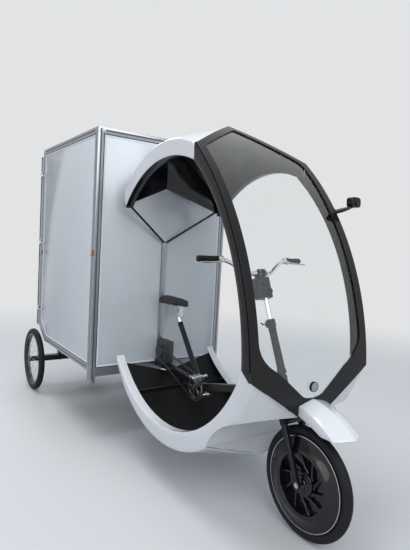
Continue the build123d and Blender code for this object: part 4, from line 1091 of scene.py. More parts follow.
lines = []
for y in (0.0228, -0.0228):
    left, right = y + RIM_LINE_HALF, y - RIM_LINE_HALF
    corners = [(left, 0.2088, 0), (left, 0.2118, 0.0004), (right, 0.2118, 0.0004), (right, 0.2088, 0)]
    lines.append(lathe("line", round_outline(corners), AXLE, "alloy_bright", 192))
finished(joined("rim_line", lines), "front_wheel", "alloy_bright")
hub_ring = [(AXLE.x + 0.033 * cos(a), 0.0265, AXLE.z + 0.033 * sin(a)) for a in turns_round(6)]
hub_bolts = heads_on_both_sides("front_hub_bolts", hub_ring, 0.0030, 0.0030, "frame_black")
finished(hub_bolts, "front_wheel", "frame_black")
axle_nuts = heads_on_both_sides("front_axle_nuts", [(AXLE.x, FORK_OUTSIDE, AXLE.z)], 0.0085, 0.0075)
finished(axle_nuts, "steering", "steel_bright")
print("hub bolt faces", len(hub_bolts.data.polygons), "axle nut faces", len(axle_nuts.data.polygons))

# %% [markdown]
# The rear wheels are wire wheels. Thirty-six thin spokes leave the hub's two flanges
# at a slant, so that half of them pull when the machine drives and half when it brakes.
# Each spoke is a bar of its own from a hole in the flange to a nipple in the rim.

# %% Rear wheels
SPOKES = 36
SPOKE_RADIUS = 0.0011
FLANGE_Y = 0.040
FLANGE_HOLES = 0.030
SPOKE_TIPS = 0.1975


def build_rear_wheel(name, node, body, y):
    place = (REAR_X, y, AXLE.z)
    rim = both_flanks((
        (0.0080, 0.1950, 0.002), (0.0155, 0.1985, 0.003), (0.0180, 0.2060, 0.002),
        (0.0190, RIM_RADIUS, 0.0015), (0.0165, RIM_RADIUS, 0.0015), (0.0150, 0.2080, 0.002),
    ))
    hub = both_flanks((
        (0.0430, 0.0082, 0.0), (0.0430, 0.0160, 0.0015), (0.0420, 0.0340, 0.001), (0.0380, 0.0340, 0.001),
        (0.0360, 0.0230, 0.003), (0.0280, 0.0215, 0.002),
    ))
    parts = [lathe("rim", round_outline(rim), place, "rim_alloy", 160)]
    parts.append(lathe("hub", round_outline(hub, 2), place, "rim_alloy", 64))
    wires = []
    for spoke, turn in enumerate(turns_round(SPOKES)):
        side = 1 if spoke % 2 else -1
        lead = 1 if spoke % 4 < 2 else -1
        foot_turn = turn + lead * radians(62)
        foot = Vector((FLANGE_HOLES * cos(foot_turn), side * FLANGE_Y, FLANGE_HOLES * sin(foot_turn)))
        tip = Vector((SPOKE_TIPS * cos(turn), side * 0.004, SPOKE_TIPS * sin(turn)))
        route = [Vector(place) + foot.lerp(tip, share) for share in (0, 0.9, 0.9001, 1)]
        wire = tube("wire", route[:2], SPOKE_RADIUS, "steel_bright", 6)
        nipple = tube("nipple", route[2:], SPOKE_RADIUS * 1.9, "steel_bright", 6)
        wires += [wire, nipple]
    finished(joined(f"{name}_spokes", wires), body, "steel_bright")
    piece = joined(name, parts)
    return finished(piece, body, "rim_alloy", node)


for place, node, body, _, y in wheels[1:]:
    rear_wheel = build_rear_wheel(f"wheel_{place}", node.replace("tyre", "rim"), body, y)
print("rear wheel faces", len(rear_wheel.data.polygons))

# %% [markdown]
# The fender in front of the windscreen is a beak: a ridge on the centre line, a crease on
# each side, and a skirt that hangs from the crease and is cut off at a slant in front.
# Straight flat faces with crisp edges need no subdivision, so it is a sheet of rows again,
# thickened and given a fine bevel. The bevel is what makes a moulded edge shine.

# %% Fender
fender_ridge = SideArc((1.306, 0.646), (1.568, 0.541), 0.026)
FENDER_TIP_X = 1.523
FENDER_CUT = Vector((1.456, 0.533))
fender_crease = SideArc((1.303, 0.627), (FENDER_TIP_X, 0.535), 0.015)
fender_hem = SideArc((1.300, 0.586), FENDER_CUT, 0.004)
FENDER_HALF = 0.085
FENDER_COLUMNS = 28


def hem_under(point):
    """The point of the skirt's lower edge below a point of the crease."""
    if point.x > FENDER_CUT.x:
        share = (point.x - FENDER_CUT.x) / (FENDER_TIP_X - FENDER_CUT.x)
        return Vector((point.x, FENDER_CUT.y + share * 0.002))
    return fender_hem.over(point.x)


def build_fender():
    shares = [c / FENDER_COLUMNS for c in range(FENDER_COLUMNS + 1)]
    ridge_row = [fender_ridge.at(s) for s in shares]
    crease_row = [fender_crease.at(s) for s in shares]
    hem_row = [hem_under(p) for p in crease_row]
    piece = sheet_from_rows("fender_beak", cross_rows((
        (0.0, ridge_row), (FENDER_HALF / 2, between(ridge_row, crease_row, 0.5)),
        (FENDER_HALF, crease_row), (FENDER_HALF, hem_row),
    )), ("shell_white", "lining_black"))
    mesh = bmesh.new()
    mesh.from_mesh(piece.data)
    bmesh.ops.remove_doubles(mesh, verts=mesh.verts, dist=0.0004)
    bmesh.ops.recalc_face_normals(mesh, faces=mesh.faces)
    if max(mesh.faces, key=lambda face: face.calc_center_median().z).normal.z < 0:
        bmesh.ops.reverse_faces(mesh, faces=mesh.faces)
    mesh.to_mesh(piece.data)
    mesh.free()
    thicken(piece, 0.004)
    soften_edges(piece, 0.0014, 12)
    settle(piece)
    crisp(piece, 25)
    return finished(piece, "chassis", "shell_white", "front_fender")


fender = build_fender()
print("fender faces", len(fender.data.polygons))

# %% [markdown]
# Everything that turns with the handlebar is placed along the steering axis. It leans
# back from the front axle, so a point is given by how far up the axis it lies, how far to
# the left, and how far ahead of it. That way a clamp sits square on its tube.

# %% Steering axis
RAKE = radians(23.8)
UP_AXIS = Vector((-sin(RAKE), 0, cos(RAKE)))
AHEAD_OF_AXIS = Vector((cos(RAKE), 0, sin(RAKE)))
FRONT_HUB = Vector((AXLE.x, 0.0, AXLE.z))
BAR_HEIGHT = 1.003


def on_axis(height, left=0.0, ahead=0.0):
    return FRONT_HUB + UP_AXIS * height + LEFT * left + AHEAD_OF_AXIS * ahead


def turned(name, foot, along, profile, finish_name, sides=40):
    """A turned part: (distance, radius) points spun about a line from its foot."""
    along = along.normalized()
    across = along.orthogonal().normalized()
    other = along.cross(across)
    points = []
    for distance, r in profile:
        for turn in turns_round(sides):
            points.append(foot + along * distance + (across * cos(turn) + other * sin(turn)) * r)
    cells = ring_cells(len(profile), sides) + end_caps(len(profile), sides)
    return closed_piece(name, points, cells, finish_name, 32)


def bent_route(corners, steps=8):
    """A route through (point, bend) corners, each bend a smooth turn of that reach."""
    places = [Vector(place) for place, _ in corners]
    return rounded(places, [reach for _, reach in corners[1:-1]], steps)


def rounded_block(name, centre, axes, halves, finish_name, power=5.0, sides=40, crown=0.12):
    """A block with full corners: its sections are superellipses that shrink at the ends."""
    points = []
    levels = [(-1, 1 - crown), (-0.985, 1 - crown / 2), (-0.94, 1 - crown / 8), (-0.88, 1)]
    levels += [(-a, b) for a, b in reversed(levels)]
    long, wide, deep = (Vector(a) for a in axes)
    for level, scale in levels:
        for s in range(sides):
            turn = 2 * pi * (s + 0.5) / sides
            c, n = cos(turn), sin(turn)
            u = (1 if c > 0 else -1) * abs(c) ** (2 / power) * halves[1] * scale
            v = (1 if n > 0 else -1) * abs(n) ** (2 / power) * halves[2] * scale
            points.append(Vector(centre) + long * (halves[0] * level) + wide * u + deep * v)
    cells = ring_cells(len(levels), sides) + end_caps(len(levels), sides)
    return closed_piece(name, points, cells, finish_name, 40)


print("bar centre", [round(v, 3) for v in on_axis(BAR_HEIGHT)])

# %% [markdown]
# The bar is one polished tube. It leaves the clamp level, rises and sweeps back to the
# grips. The grips are ribbed rubber, turned like the bar's other round parts, and the
# brake blades are flat bars with a curl at the tip, so that fingers can't slip off.

# %% Handlebar and grips
BAR_RADIUS = 0.011
GRIP_Z = 1.238
GRIP_FOOT = Vector((0.8615, 0.2330, GRIP_Z))
GRIP_TIP = Vector((0.8454, 0.3425, GRIP_Z))
GRIP_RIBS = 22
# (distance, radius) points
RIB = ((0.0, 0.0148), (0.0006, 0.0158), (0.0026, 0.0158), (0.0032, 0.0148))


def mirrored(point, side):
    return Vector((point[0], point[1] * side, point[2]))


def build_bar():
    left = bent_route([
        ((0.9152, 0.0, 1.1727), 0), ((0.9152, 0.070, 1.1727), 0.028),
        ((0.868, 0.190, GRIP_Z), 0.040), ((0.8470, 0.3330, GRIP_Z), 0),
    ])
    route = [mirrored(p, -1) for p in reversed(left[1:])] + left
    bar = tube("handlebar_tube", route, BAR_RADIUS, "chrome_bright", 24)
    swell = [(-0.055, 0.0112), (-0.040, 0.0135), (0.040, 0.0135), (0.055, 0.0112)]
    clamp = turned("swell", on_axis(BAR_HEIGHT), LEFT, swell, "chrome_bright")
    return finished(joined("handlebar_tube", [bar, clamp]), "steering", "chrome_bright", "handlebar")


def build_grip(side):
    foot, tip = mirrored(GRIP_FOOT, side), mirrored(GRIP_TIP, side)
    length = (tip - foot).length
    word = word_for(side)
    profile = [(0.0, 0.0125), (0.0, 0.0182), (0.0035, 0.0182), (0.0045, 0.0150)]
    for rib in range(GRIP_RIBS):
        start = 0.007 + (length - 0.016) * rib / GRIP_RIBS
        profile += [(start + step, r) for step, r in RIB]
    profile += [(length - 0.006, 0.0155), (length - 0.001, 0.0150), (length, 0.0135)]
    piece = turned(f"grip_ribs_{word}", foot, tip - foot, profile, "rubber_black", 32)
    return finished(piece, "steering", "rubber_black", f"grip_{word}")


bar = build_bar()
grips = [build_grip(side) for side in (1, -1)]
print("bar faces", len(bar.data.polygons), "grip faces", len(grips[0].data.polygons))

# %% [markdown]
# Each brake blade hangs on a clamp round the bar, with a pin beside the clamp. The blade
# is a tube flattened to an oval, as a real one is forged without sharp edges.

# %% Brake blades
def build_lever(side):
    word = word_for(side)
    foot = mirrored((0.8660, 0.2030, GRIP_Z), side)
    along = mirrored(GRIP_TIP, side) - mirrored(GRIP_FOOT, side)
    band = [
        (0.0, 0.0115), (0.0, 0.0150), (0.0015, 0.0160), (0.0165, 0.0160), (0.018, 0.0150), (0.018, 0.0115),
    ]
    parts = [turned("band", foot, along, band, "alloy_bright", 36)]
    perch = mirrored((0.8790, 0.2150, 1.2320), side)
    axes = (mirrored((-0.15, 0.98, 0), side), (0.98, 0.15 * side, 0), (0, 0, 1))
    parts.append(rounded_block("perch", perch, axes, (0.014, 0.011, 0.007), "alloy_bright", 4))
    route = bent_route([(mirrored(p, side), bend) for p, bend in (
        ((0.8800, 0.2200, 1.2310), 0), ((0.8935, 0.2420, 1.2270), 0.012), ((0.8880, 0.3050, 1.2230), 0.030),
        ((0.8830, 0.3340, 1.2225), 0.010), ((0.8870, 0.3420, 1.2225), 0),
    )], 6)
    parts.append(tube("blade", route, 0.0060, "alloy_bright", 16, 0.5))
    curl = (0.0055, 0.0055, 0.0045)
    parts.append(rounded_block("tip", route[-1], axes, curl, "alloy_bright", 2.2, 20, 0.6))
    pin = [(0.0, 0.0035), (0.001, 0.0042), (0.0155, 0.0042), (0.0165, 0.0035)]
    parts.append(turned("pivot", mirrored((0.8800, 0.2220, 1.2225), side), UP, pin, "alloy_bright", 20))
    return finished(joined(f"brake_blade_{word}", parts), "steering", "alloy_bright", f"brake_lever_{word}")


blades = [build_lever(side) for side in (1, -1)]
print("brake blade faces", len(blades[0].data.polygons))

# %% [markdown]
# Below the bar a dark plastic housing wraps round the chrome post. The post slides into a
# black sleeve, and a clamp ring with a small lever holds it. These are separate parts on
# the real column, so they are separate here, with a gap or a step where they meet.

# %% Column
def build_column():
    post = turned("column_post", on_axis(0.735), UP_AXIS, [
        (0.0, 0.0110), (0.0, 0.0122), (0.255, 0.0122), (0.258, 0.0110),
    ], "chrome_bright")
    finished(post, "steering", "chrome_bright", "stem")
    sleeve = turned("column_sleeve", on_axis(0.492), UP_AXIS, [
        (0.0, 0.0170), (0.0, 0.0215), (0.004, 0.0225), (0.020, 0.0225), (0.024, 0.0195), (0.205, 0.0185),
        (0.212, 0.0200), (0.232, 0.0200), (0.2335, 0.0190),
    ], "frame_black")
    finished(sleeve, "steering", "frame_black")
    ring = turned("ring", on_axis(0.7262), UP_AXIS, [
        (0.0, 0.0190), (0.0, 0.0222), (0.0015, 0.0232), (0.0125, 0.0232), (0.0140, 0.0222),
        (0.0140, 0.0215), (0.0170, 0.0215), (0.0170, 0.0222), (0.0185, 0.0232), (0.0325, 0.0232),
        (0.0345, 0.0220), (0.0345, 0.0135),
    ], "frame_black")
    lug = rounded_block("lug", on_axis(0.743, 0.0, -0.0285), (UP_AXIS, LEFT, AHEAD_OF_AXIS),
                        (0.0150, 0.0090, 0.0080), "frame_black", 4)
    lever_route = bent_route([(on_axis(0.743, -0.012, -0.032), 0), (on_axis(0.744, -0.026, -0.030), 0.008),
                              (on_axis(0.750, -0.050, -0.016), 0)])
    lever = tube("lever", lever_route, 0.0042, "frame_black", 14, 0.6)
    finished(joined("column_clamp", [ring, lug, lever]), "steering", "frame_black")
    cap_bolts = [on_axis(BAR_HEIGHT + u, y, 0.0225) for u in (-0.0115, 0.0115) for y in (-0.015, 0.015)]
    plate = rounded_block("plate", on_axis(BAR_HEIGHT, 0, 0.0135), (LEFT, UP_AXIS, AHEAD_OF_AXIS),
                          (0.0240, 0.0190, 0.0090), "frame_black", 5)
    back = rounded_block("back", on_axis(BAR_HEIGHT, 0, -0.0125), (LEFT, UP_AXIS, AHEAD_OF_AXIS),
                         (0.0230, 0.0180, 0.0095), "frame_black", 5)
    finished(joined("bar_clamp", [plate, back]), "steering", "frame_black")
    heads = bolt_heads("bar_clamp_bolts", cap_bolts, 0.0030, 0.0035, "steel_bright", axis=AHEAD_OF_AXIS)
    finished(heads, "steering", "steel_bright")


def build_console():
    axes = (UP_AXIS, LEFT, AHEAD_OF_AXIS)
    parts = [rounded_block("console_housing", on_axis(0.926, 0, -0.010), axes, (0.0540, 0.0440, 0.0300),
                           "console_dark", 5, 48, 0.16)]
    brow = (0.0200, 0.0330, 0.0060)
    parts.append(rounded_block("brow", on_axis(0.958, 0, 0.0195), axes, brow, "console_dark", 5))
    for side in (1, -1):
        pod = turned("pod", on_axis(0.905, side * 0.024, 0.012), AHEAD_OF_AXIS,
                     [(0.0, 0.0165), (0.0090, 0.0165), (0.0110, 0.0150), (0.0105, 0.0110), (0.0080, 0.0100)],
                     "console_dark", 36)
        parts.append(pod)
    housing = finished(joined("console_housing", parts), "steering", "console_dark", "console")
    dial = turned("console_dial", on_axis(0.930, 0, -0.0385), -AHEAD_OF_AXIS,
                  [(0.0, 0.0300), (0.0030, 0.0300), (0.0045, 0.0285), (0.0040, 0.0260), (0.0025, 0.0255)],
                  "frame_black", 48)
    finished(dial, "steering", "frame_black")
    return housing


build_column()
console = build_console()
print("console faces", len(console.data.polygons))

# %% [markdown]
# The box is a frame of aluminium bars with flat panels let into it. What makes it look
# built, not drawn, is the line between the two: a black rubber seal against the bar, and
# a trim that slopes down from the seal to the panel. The trim is the panel's paint made
# paler, a painted highlight for the light on its slope. Both follow the opening's
# outline, which has a cut corner above the rear wheel, so the outline is offset inwards
# and each pair of outlines becomes one strip of faces.

# %% Trim round a panel
def inset(outline, distance):
    """A convex outline, counter-clockwise, moved inwards by the distance."""
    row = []
    for i, corner in enumerate(outline):
        before = (Vector(corner) - Vector(outline[i - 1])).normalized()
        after = (Vector(outline[(i + 1) % len(outline)]) - Vector(corner)).normalized()
        inwards = (Vector((-before.y, before.x)) + Vector((-after.y, after.x))).normalized()
        half_turn = before.angle(after) / 2
        row.append(Vector(corner) + inwards * distance / cos(half_turn))
    return row


def strip_round(name, outline, section, place, finish_name):
    """A closed strip: section gives (distance inwards, height), place turns both into a point."""
    rows = []
    for distance, height in section:
        rows.append([place(p, height) for p in inset(outline, distance)])
    points = [p for row in rows for p in row]
    return closed_piece(name, points, ring_cells(len(rows), len(outline)), finish_name, 20)


# (distance inwards, height) points
SEAL_SECTION = (
    (-0.0005, -0.002), (-0.0005, 0.0026), (0.0008, 0.0036), (0.0038, 0.0036), (0.0050, 0.0024),
    (0.0050, -0.002),
)
TRIM_SECTION = (
    (0.0050, -0.002), (0.0050, 0.0030), (0.0058, 0.0034), (0.0072, 0.0034), (0.0165, 0.0010),
    (0.0170, -0.002),
)
PANEL_Y = 0.496
DOOR_X = -1.284
OPENING_FRONT = -0.127
OPENING_REAR = -1.211
OPENING_HALF = 0.460
OPENING_TOP = 1.956


def rectangle(low, high):
    """The four corners, counter-clockwise from the lowest."""
    return [low, (high[0], low[1]), high, (low[0], high[1])]


def panel_edge(word, outline, place, body):
    seal = strip_round(f"seal_{word}", outline, SEAL_SECTION, place, "rubber_black")
    # the trim's paler white is a painted highlight for the light on its slope
    trim = strip_round(f"trim_{word}", outline, TRIM_SECTION, place, "panel_trim")
    finished(seal, body, "rubber_black")
    finished(trim, body, "panel_white")


side_opening = [
    (OPENING_FRONT, 0.496), (OPENING_FRONT, OPENING_TOP), (OPENING_REAR, OPENING_TOP),
    (OPENING_REAR, 0.601), (-1.045, 0.496),
]
front_opening = rectangle((-OPENING_HALF, 0.476), (OPENING_HALF, OPENING_TOP))
door_field = rectangle((0.012, 0.562), (0.507, 1.940))
roof_opening = rectangle((OPENING_REAR, -OPENING_HALF), (OPENING_FRONT, OPENING_HALF))
panels = (
    ("left", side_opening, lambda p, up: Vector((p.x, PANEL_Y + up, p.y)), "chassis"),
    ("right", side_opening, lambda p, up: Vector((p.x, -PANEL_Y - up, p.y)), "chassis"),
    ("front", front_opening, lambda p, up: Vector((-0.091 + up, p.x, p.y)), "chassis"),
    ("roof", roof_opening, lambda p, up: Vector((p.x, p.y, 1.992 + up)), "chassis"),
    ("door_left", door_field, lambda p, up: Vector((DOOR_X - up * 0.6, p.x, p.y)), "left_door"),
    ("door_right", door_field, lambda p, up: Vector((DOOR_X - up * 0.6, -p.x, p.y)), "right_door"),
)
for panel in panels:
    panel_edge(*panel)
print("panel edges", len(panels))

# %% [markdown]
# The bars of such a frame are extruded with a groove along each face, and the corners
# are closed by cast blocks held with screws. A groove is drawn here as a dark line with
# two lips, raised by less than a millimetre, so that the imported bar stays as it is. The
# line is darker aluminium: painted shade for the depth of the groove.

# %% Bar grooves and corner screws
GROOVE_HALF = 0.0085 / 2
BAR_Y = 0.500
BAR_X = -0.087
BAR_X_Y = 0.480
# (distance outside the groove's edge, height) points of one lip
LIP_SECTION = ((0.0022, -0.0006), (0.0016, 0.0007), (0.0004, 0.0007), (0.0, 0.0001))


def groove(start, end, out):
    """A shallow channel along a bar's face: two lips with a floor of painted shade between them."""
    start, end, out = Vector(start), Vector(end), Vector(out)
    across = (end - start).normalized().cross(out)
    section = [(-GROOVE_HALF - a, b) for a, b in LIP_SECTION]
    section += [(-a, b) for a, b in reversed(section)]
    count = len(section)
    points = [p + across * a + out * b for p in (start, end) for a, b in section]
    cells = [(c, c + 1, c + 1 + count, c + count) for c in range(count - 1)]
    piece = mesh_piece("groove", points, cells + end_caps(2, count), ("aluminium_rail", "groove_dark"))
    # the floor face is painted shade: darker aluminium for the depth of the groove
    piece.data.polygons[len(LIP_SECTION) - 1].material_index = 1
    face_outward(piece)
    crisp(piece, 25)
    return piece


def build_grooves():
    routes = []
    for side in (1, -1):
        y = side * BAR_Y
        out = LEFT * side
        routes += [
            ((-0.107, y, 0.400), (-0.107, y, 1.985), out),
            ((-1.231, y, 0.640), (-1.231, y, 1.985), out),
            ((-1.200, y, 1.976), (-0.138, y, 1.976), out),
            ((-1.025, y, 0.476), (-0.138, y, 0.476), out),
            ((BAR_X, side * BAR_X_Y, 0.400), (BAR_X, side * BAR_X_Y, 1.985), AHEAD),
        ]
    routes.append(((BAR_X, -0.450, 1.976), (BAR_X, 0.450, 1.976), AHEAD))
    parts = [groove(*route) for route in routes]
    return finished(joined("bar_grooves", parts), "chassis", "aluminium_rail")


grooves = build_grooves()
side_spots = [(x, BAR_Y, z) for x in (-0.096, -0.118, -1.220, -1.242) for z in (1.966, 1.987)]
side_spots += [(x, BAR_Y, z) for x in (-0.096, -0.118) for z in (0.466, 0.486)]
front_spots = [
    (BAR_X, side * (BAR_X_Y + step), z)
    for side in (1, -1) for step in (-0.011, 0.011) for z in (0.466, 0.486, 1.966, 1.987)
]
corner_screws = [
    heads_on_both_sides("side_screws", side_spots, 0.0024, 0.0016),
    bolt_heads("front_screws", front_spots, 0.0024, 0.0016, "steel_bright", axis=(1, 0, 0)),
]
screws = finished(joined("corner_screws", corner_screws), "chassis", "steel_bright")
print("groove faces", len(grooves.data.polygons), "screw faces", len(screws.data.polygons))

# %% [markdown]
# A saddle is foam under a stretched cover: broad and dished at the back, a narrow nose in
# front, full along the top and tucked in under the rim, with a channel down the middle and
# a welt where the cover meets the base. It is a closed grid, one ring of points for each
# station along its length, so its fullness can be given as one curve. The cover is then
# blown up a little as cloth with its base held still, and no point moves by more than two
# millimetres: that pulls it tight over the edges. The welt is laid on afterwards.

# %% Saddle
SADDLE_REAR = -0.028
SADDLE_NOSE = 0.241
SADDLE_TOP = 0.947
SADDLE_BASE = 0.903
COVER_POINTS = 25
WELT_STEPS = 60
# (share of the length from the rear, half width)
stations = (
    (0.00, 0.030), (0.03, 0.052), (0.10, 0.069), (0.22, 0.0745), (0.36, 0.068), (0.50, 0.050),
    (0.64, 0.034), (0.80, 0.0235), (0.93, 0.0190), (0.985, 0.0130), (1.00, 0.0060),
)


def saddle_x(share):
    return SADDLE_REAR + (SADDLE_NOSE - SADDLE_REAR) * share


def eased_shares(steps):
    """Shares from 0 to 1 that lie closer together at both ends, where the outline turns."""
    return [0.5 - 0.5 * cos(pi * step / steps) for step in range(steps + 1)]


def blended(pairs, share):
    """A smooth value between (share, value) pairs."""
    for (a, low), (b, high) in zip(pairs, pairs[1:]):
        if share <= b:
            t = (share - a) / (b - a)
            return low + (high - low) * t * t * (3 - 2 * t) if b - a < 0.05 else low + (high - low) * t
    return pairs[-1][1]


def saddle_ring(share):
    half = blended(stations, share)
    dip = 0.006 * sin(pi * min(1.0, share * 1.5)) + 0.004 * max(0.0, share - 0.72) / 0.28
    top = SADDLE_TOP - dip
    flank = 0.030 if share < 0.6 else 0.030 - 0.006 * (share - 0.6) / 0.4
    foot = top - flank
    ring = []
    for step in range(COVER_POINTS):
        turn = pi * step / (COVER_POINTS - 1)
        across = cos(turn)
        lift = abs(sin(turn)) ** 0.62
        y = half * (1 if across > 0 else -1) * abs(across) ** 0.72
        channel = 0.0028 * max(0.0, 1 - (y / 0.011) ** 2) * (1 - abs(2 * share - 1) ** 3)
        ring.append((y, foot + flank * lift - channel))
    rim = [
        (half * 1.012, foot - 0.002), (half * 1.012, foot - 0.0045), (half * 0.985, foot - 0.006),
        (half * 0.90, SADDLE_BASE + 0.002), (half * 0.80, SADDLE_BASE),
    ]
    return ring + [(-y, z) for y, z in rim] + [(y, z) for y, z in reversed(rim)]


def stretch_cover(piece, ring_count, cover_count, pressure=4.0, reach=0.0022, steps=16):
    """Swells the cover as cloth under pressure. The points past the cover in each ring are held still."""
    before = [v.co.copy() for v in piece.data.vertices]
    held = piece.vertex_groups.new(name="base")
    held.add([i for i in range(len(before)) if i % ring_count >= cover_count], 1.0, "REPLACE")
    cloth = piece.modifiers.new("cover", "CLOTH")
    cloth.settings.use_pressure = True
    cloth.settings.uniform_pressure_force = pressure
    cloth.settings.vertex_group_mass = held.name
    cloth.settings.effector_weights.gravity = 0
    cloth.collision_settings.use_collision = False
    scene = bpy.context.scene
    for step in range(1, steps + 1):
        scene.frame_set(step)
    swollen = piece.evaluated_get(bpy.context.evaluated_depsgraph_get()).data
    moves = [v.co - start for v, start in zip(swollen.vertices, before)]
    piece.modifiers.remove(cloth)
    piece.vertex_groups.clear()
    scene.frame_set(1)
    for vertex, start, move in zip(piece.data.vertices, before, moves):
        vertex.co = start + move * min(1.0, reach / max(move.length, 1e-9))
    return max(move.length for move in moves)


def build_saddle():
    rows = [[(saddle_x(share), y, z) for y, z in saddle_ring(share)] for share in eased_shares(56)]
    points = [p for row in rows for p in row]
    count = len(rows[0])
    cells = ring_cells(len(rows), count) + end_caps(len(rows), count)
    piece = mesh_piece("saddle_cushion", points, cells, ("saddle_black",))
    face_outward(piece)
    print("cover swells, mm", round(1000 * stretch_cover(piece, count, COVER_POINTS), 2))
    smooth = piece.modifiers.new("smooth", "SUBSURF")
    smooth.levels = smooth.render_levels = 1
    settle(piece)
    crisp(piece, 48)
    return finished(piece, "chassis", "saddle_black", "saddle")


def build_welt():
    """A cord of covering sewn in where the cover meets its base, right round the saddle."""
    row = []
    for share in eased_shares(WELT_STEPS):
        across, seam_z = saddle_ring(share)[0]
        row.append((saddle_x(share), across * 1.008, seam_z - 0.0030))
    route = [Vector(p) for p in row] + [Vector((x, -y, z)) for x, y, z in reversed(row)]
    welt = tube("saddle_welt", route + route[:1], 0.0015, "rubber_black", 8)
    return finished(welt, "chassis", "rubber_black")


saddle = build_saddle()
welt = build_welt()
print("saddle faces", len(saddle.data.polygons), "welt faces", len(welt.data.polygons))

# %% [markdown]
# Two bent steel rods carry the saddle: they leave its base at the rear, dip to the clamp
# and rise again to the nose. Each is one tube along a route with rounded corners.

# %% Saddle rails
rails = []
for side in (1, -1):
    route = bent_route([
        ((0.018, side * 0.030, 0.912), 0), ((0.050, side * 0.022, 0.893), 0.02),
        ((0.150, side * 0.020, 0.893), 0.03), ((0.215, side * 0.010, 0.916), 0),
    ])
    rails.append(tube("rail", route, 0.0035, "steel_bright", 14))
rails = finished(joined("saddle_rails", rails), "chassis", "steel_bright")
print("rail faces", len(rails.data.polygons))

# %% [markdown]
# A roller chain is a row of short plates in the shape of an 8, inner pairs and outer pairs
# in turn, on pins half an inch apart. Its path is the loop round the two wheels, so one
# link is drawn and set down again and again along that loop.

# %% Chain
CRANK_CENTRE = Vector((0.450, 0.450))
SPROCKET_CENTRE = Vector((-0.006, 0.568))
CHAIN_Y = -0.045
PITCH = 0.0127
PLATE = 0.0010
INNER_PLATE = 0.0020
OUTER_PLATE = 0.0031
PLATE_SIDES = 18


def chain_loop():
    """The loop of the chain in the side view, from the sizes of its two wheels."""
    big, small = 0.0795, 0.0370
    run = SPROCKET_CENTRE - CRANK_CENTRE
    heading = atan2(run.y, run.x)
    lean = asin((big - small) / run.length)
    row = []
    for centre, r, first, sweep in ((SPROCKET_CENTRE, small, heading - pi / 2 + lean, pi - 2 * lean),
                                    (CRANK_CENTRE, big, heading + pi / 2 - lean, pi + 2 * lean)):
        for s in range(49):
            turn = first + sweep * s / 48
            row.append(centre + Vector((cos(turn), sin(turn))) * r)
    return row + row[:1]


def along_loop(row):
    """Points one pitch apart, closed up so that a whole even number of links fits."""
    lengths = lengths_along(row)
    links = 2 * round(lengths[-1] / PITCH / 2)
    pins, at = [], 0
    for link in range(links):
        wanted = lengths[-1] * link / links
        while lengths[at + 1] < wanted:
            at += 1
        pins.append(row[at].lerp(row[at + 1], (wanted - lengths[at]) / (lengths[at + 1] - lengths[at])))
    return pins


def build_chain():
    pins = along_loop(chain_loop())
    points, cells = [], []
    for i, pin in enumerate(pins):
        after = pins[(i + 1) % len(pins)]
        along = (after - pin).normalized()
        side = Vector((-along.y, along.x))
        outline = []
        for turn in turns_round(PLATE_SIDES):
            reach = Vector((cos(turn), sin(turn))) * 0.0042
            centre = after if reach.x > 0 else pin
            waist = 0.72 if abs(reach.x) < 0.0012 else 1.0
            outline.append(centre + along * reach.x + side * reach.y * waist)
        level = OUTER_PLATE if i % 2 else INNER_PLATE
        for sign in (1, -1):
            near, far = CHAIN_Y + sign * level, CHAIN_Y + sign * (level + PLATE)
            first = len(points)
            points += [(p.x, near, p.y) for p in outline] + [(p.x, far, p.y) for p in outline]
            plate_cells = end_caps(2, PLATE_SIDES) + ring_cells(2, PLATE_SIDES)
            cells += [tuple(first + c for c in cell) for cell in plate_cells]
    piece = closed_piece("chain_links", points, cells, "chain_steel", 35)
    pin_profile = [(0.0, 0.0018), (0.0008, 0.0023), (0.0090, 0.0023), (0.0098, 0.0018)]
    pin_parts = []
    for pin in pins:
        foot = Vector((pin.x, CHAIN_Y - 0.0049, pin.y))
        pin_parts.append(turned("pin", foot, LEFT, pin_profile, "chain_steel", 10))
    piece = joined("chain_links", [piece] + pin_parts)
    return finished(piece, "chassis", "chain_steel", "chain")


chain = build_chain()
print("chain faces", len(chain.data.polygons))

# %% [markdown]
# The mirror is a small moulded shell on an arm. The shell's back faces forward and the
# glass faces the seat, so the two are separate pieces on one arm.

# %% Mirror
MIRROR_HEAD = Vector((1.112, 0.448, 1.568))


def build_mirror():
    aim = Vector((1.0, 0.0, 0.05)).normalized()
    wide = aim.cross(UP).normalized()
    tall = wide.cross(aim)
    axes = (aim, wide, tall)
    shell = rounded_block("shell", MIRROR_HEAD, axes, (0.0190, 0.0360, 0.0265), "border_black", 4, 48, 0.24)
    ball = rounded_block("ball", MIRROR_HEAD + aim * 0.016 - tall * 0.008, axes,
                         (0.0085, 0.0105, 0.0105), "border_black", 2.4, 28, 0.5)
    route = bent_route([
        ((1.0525, 0.369, 1.512), 0), ((1.118, 0.398, 1.532), 0.030),
        (MIRROR_HEAD + aim * 0.014 - tall * 0.014, 0),
    ])
    arm = tube("arm", route, 0.0150, "border_black", 24, 0.7, 0.5)
    foot = turned("foot", Vector((1.0515, 0.3695, 1.5115)), Vector((0.3, 1.0, 0.15)),
                  [(0.0, 0.0190), (0.003, 0.0190), (0.006, 0.0170), (0.012, 0.0130)], "border_black", 32)
    housing = joined("mirror_housing", [shell, ball, arm, foot])
    finished(housing, "chassis", "border_black", "mirror_arm")
    glass = rounded_block("mirror_glass", MIRROR_HEAD - aim * 0.0186, axes,
                          (0.0014, 0.0315, 0.0220), "chrome_bright", 4, 48, 0.03)
    finished(glass, "chassis", "chrome_bright")
    return housing


mirror = build_mirror()
print("mirror faces", len(mirror.data.polygons))

# %% [markdown]
# Small fasteners show how a shell is held: two screws on each side of the wheel arch, and
# a bezel round the lamp.

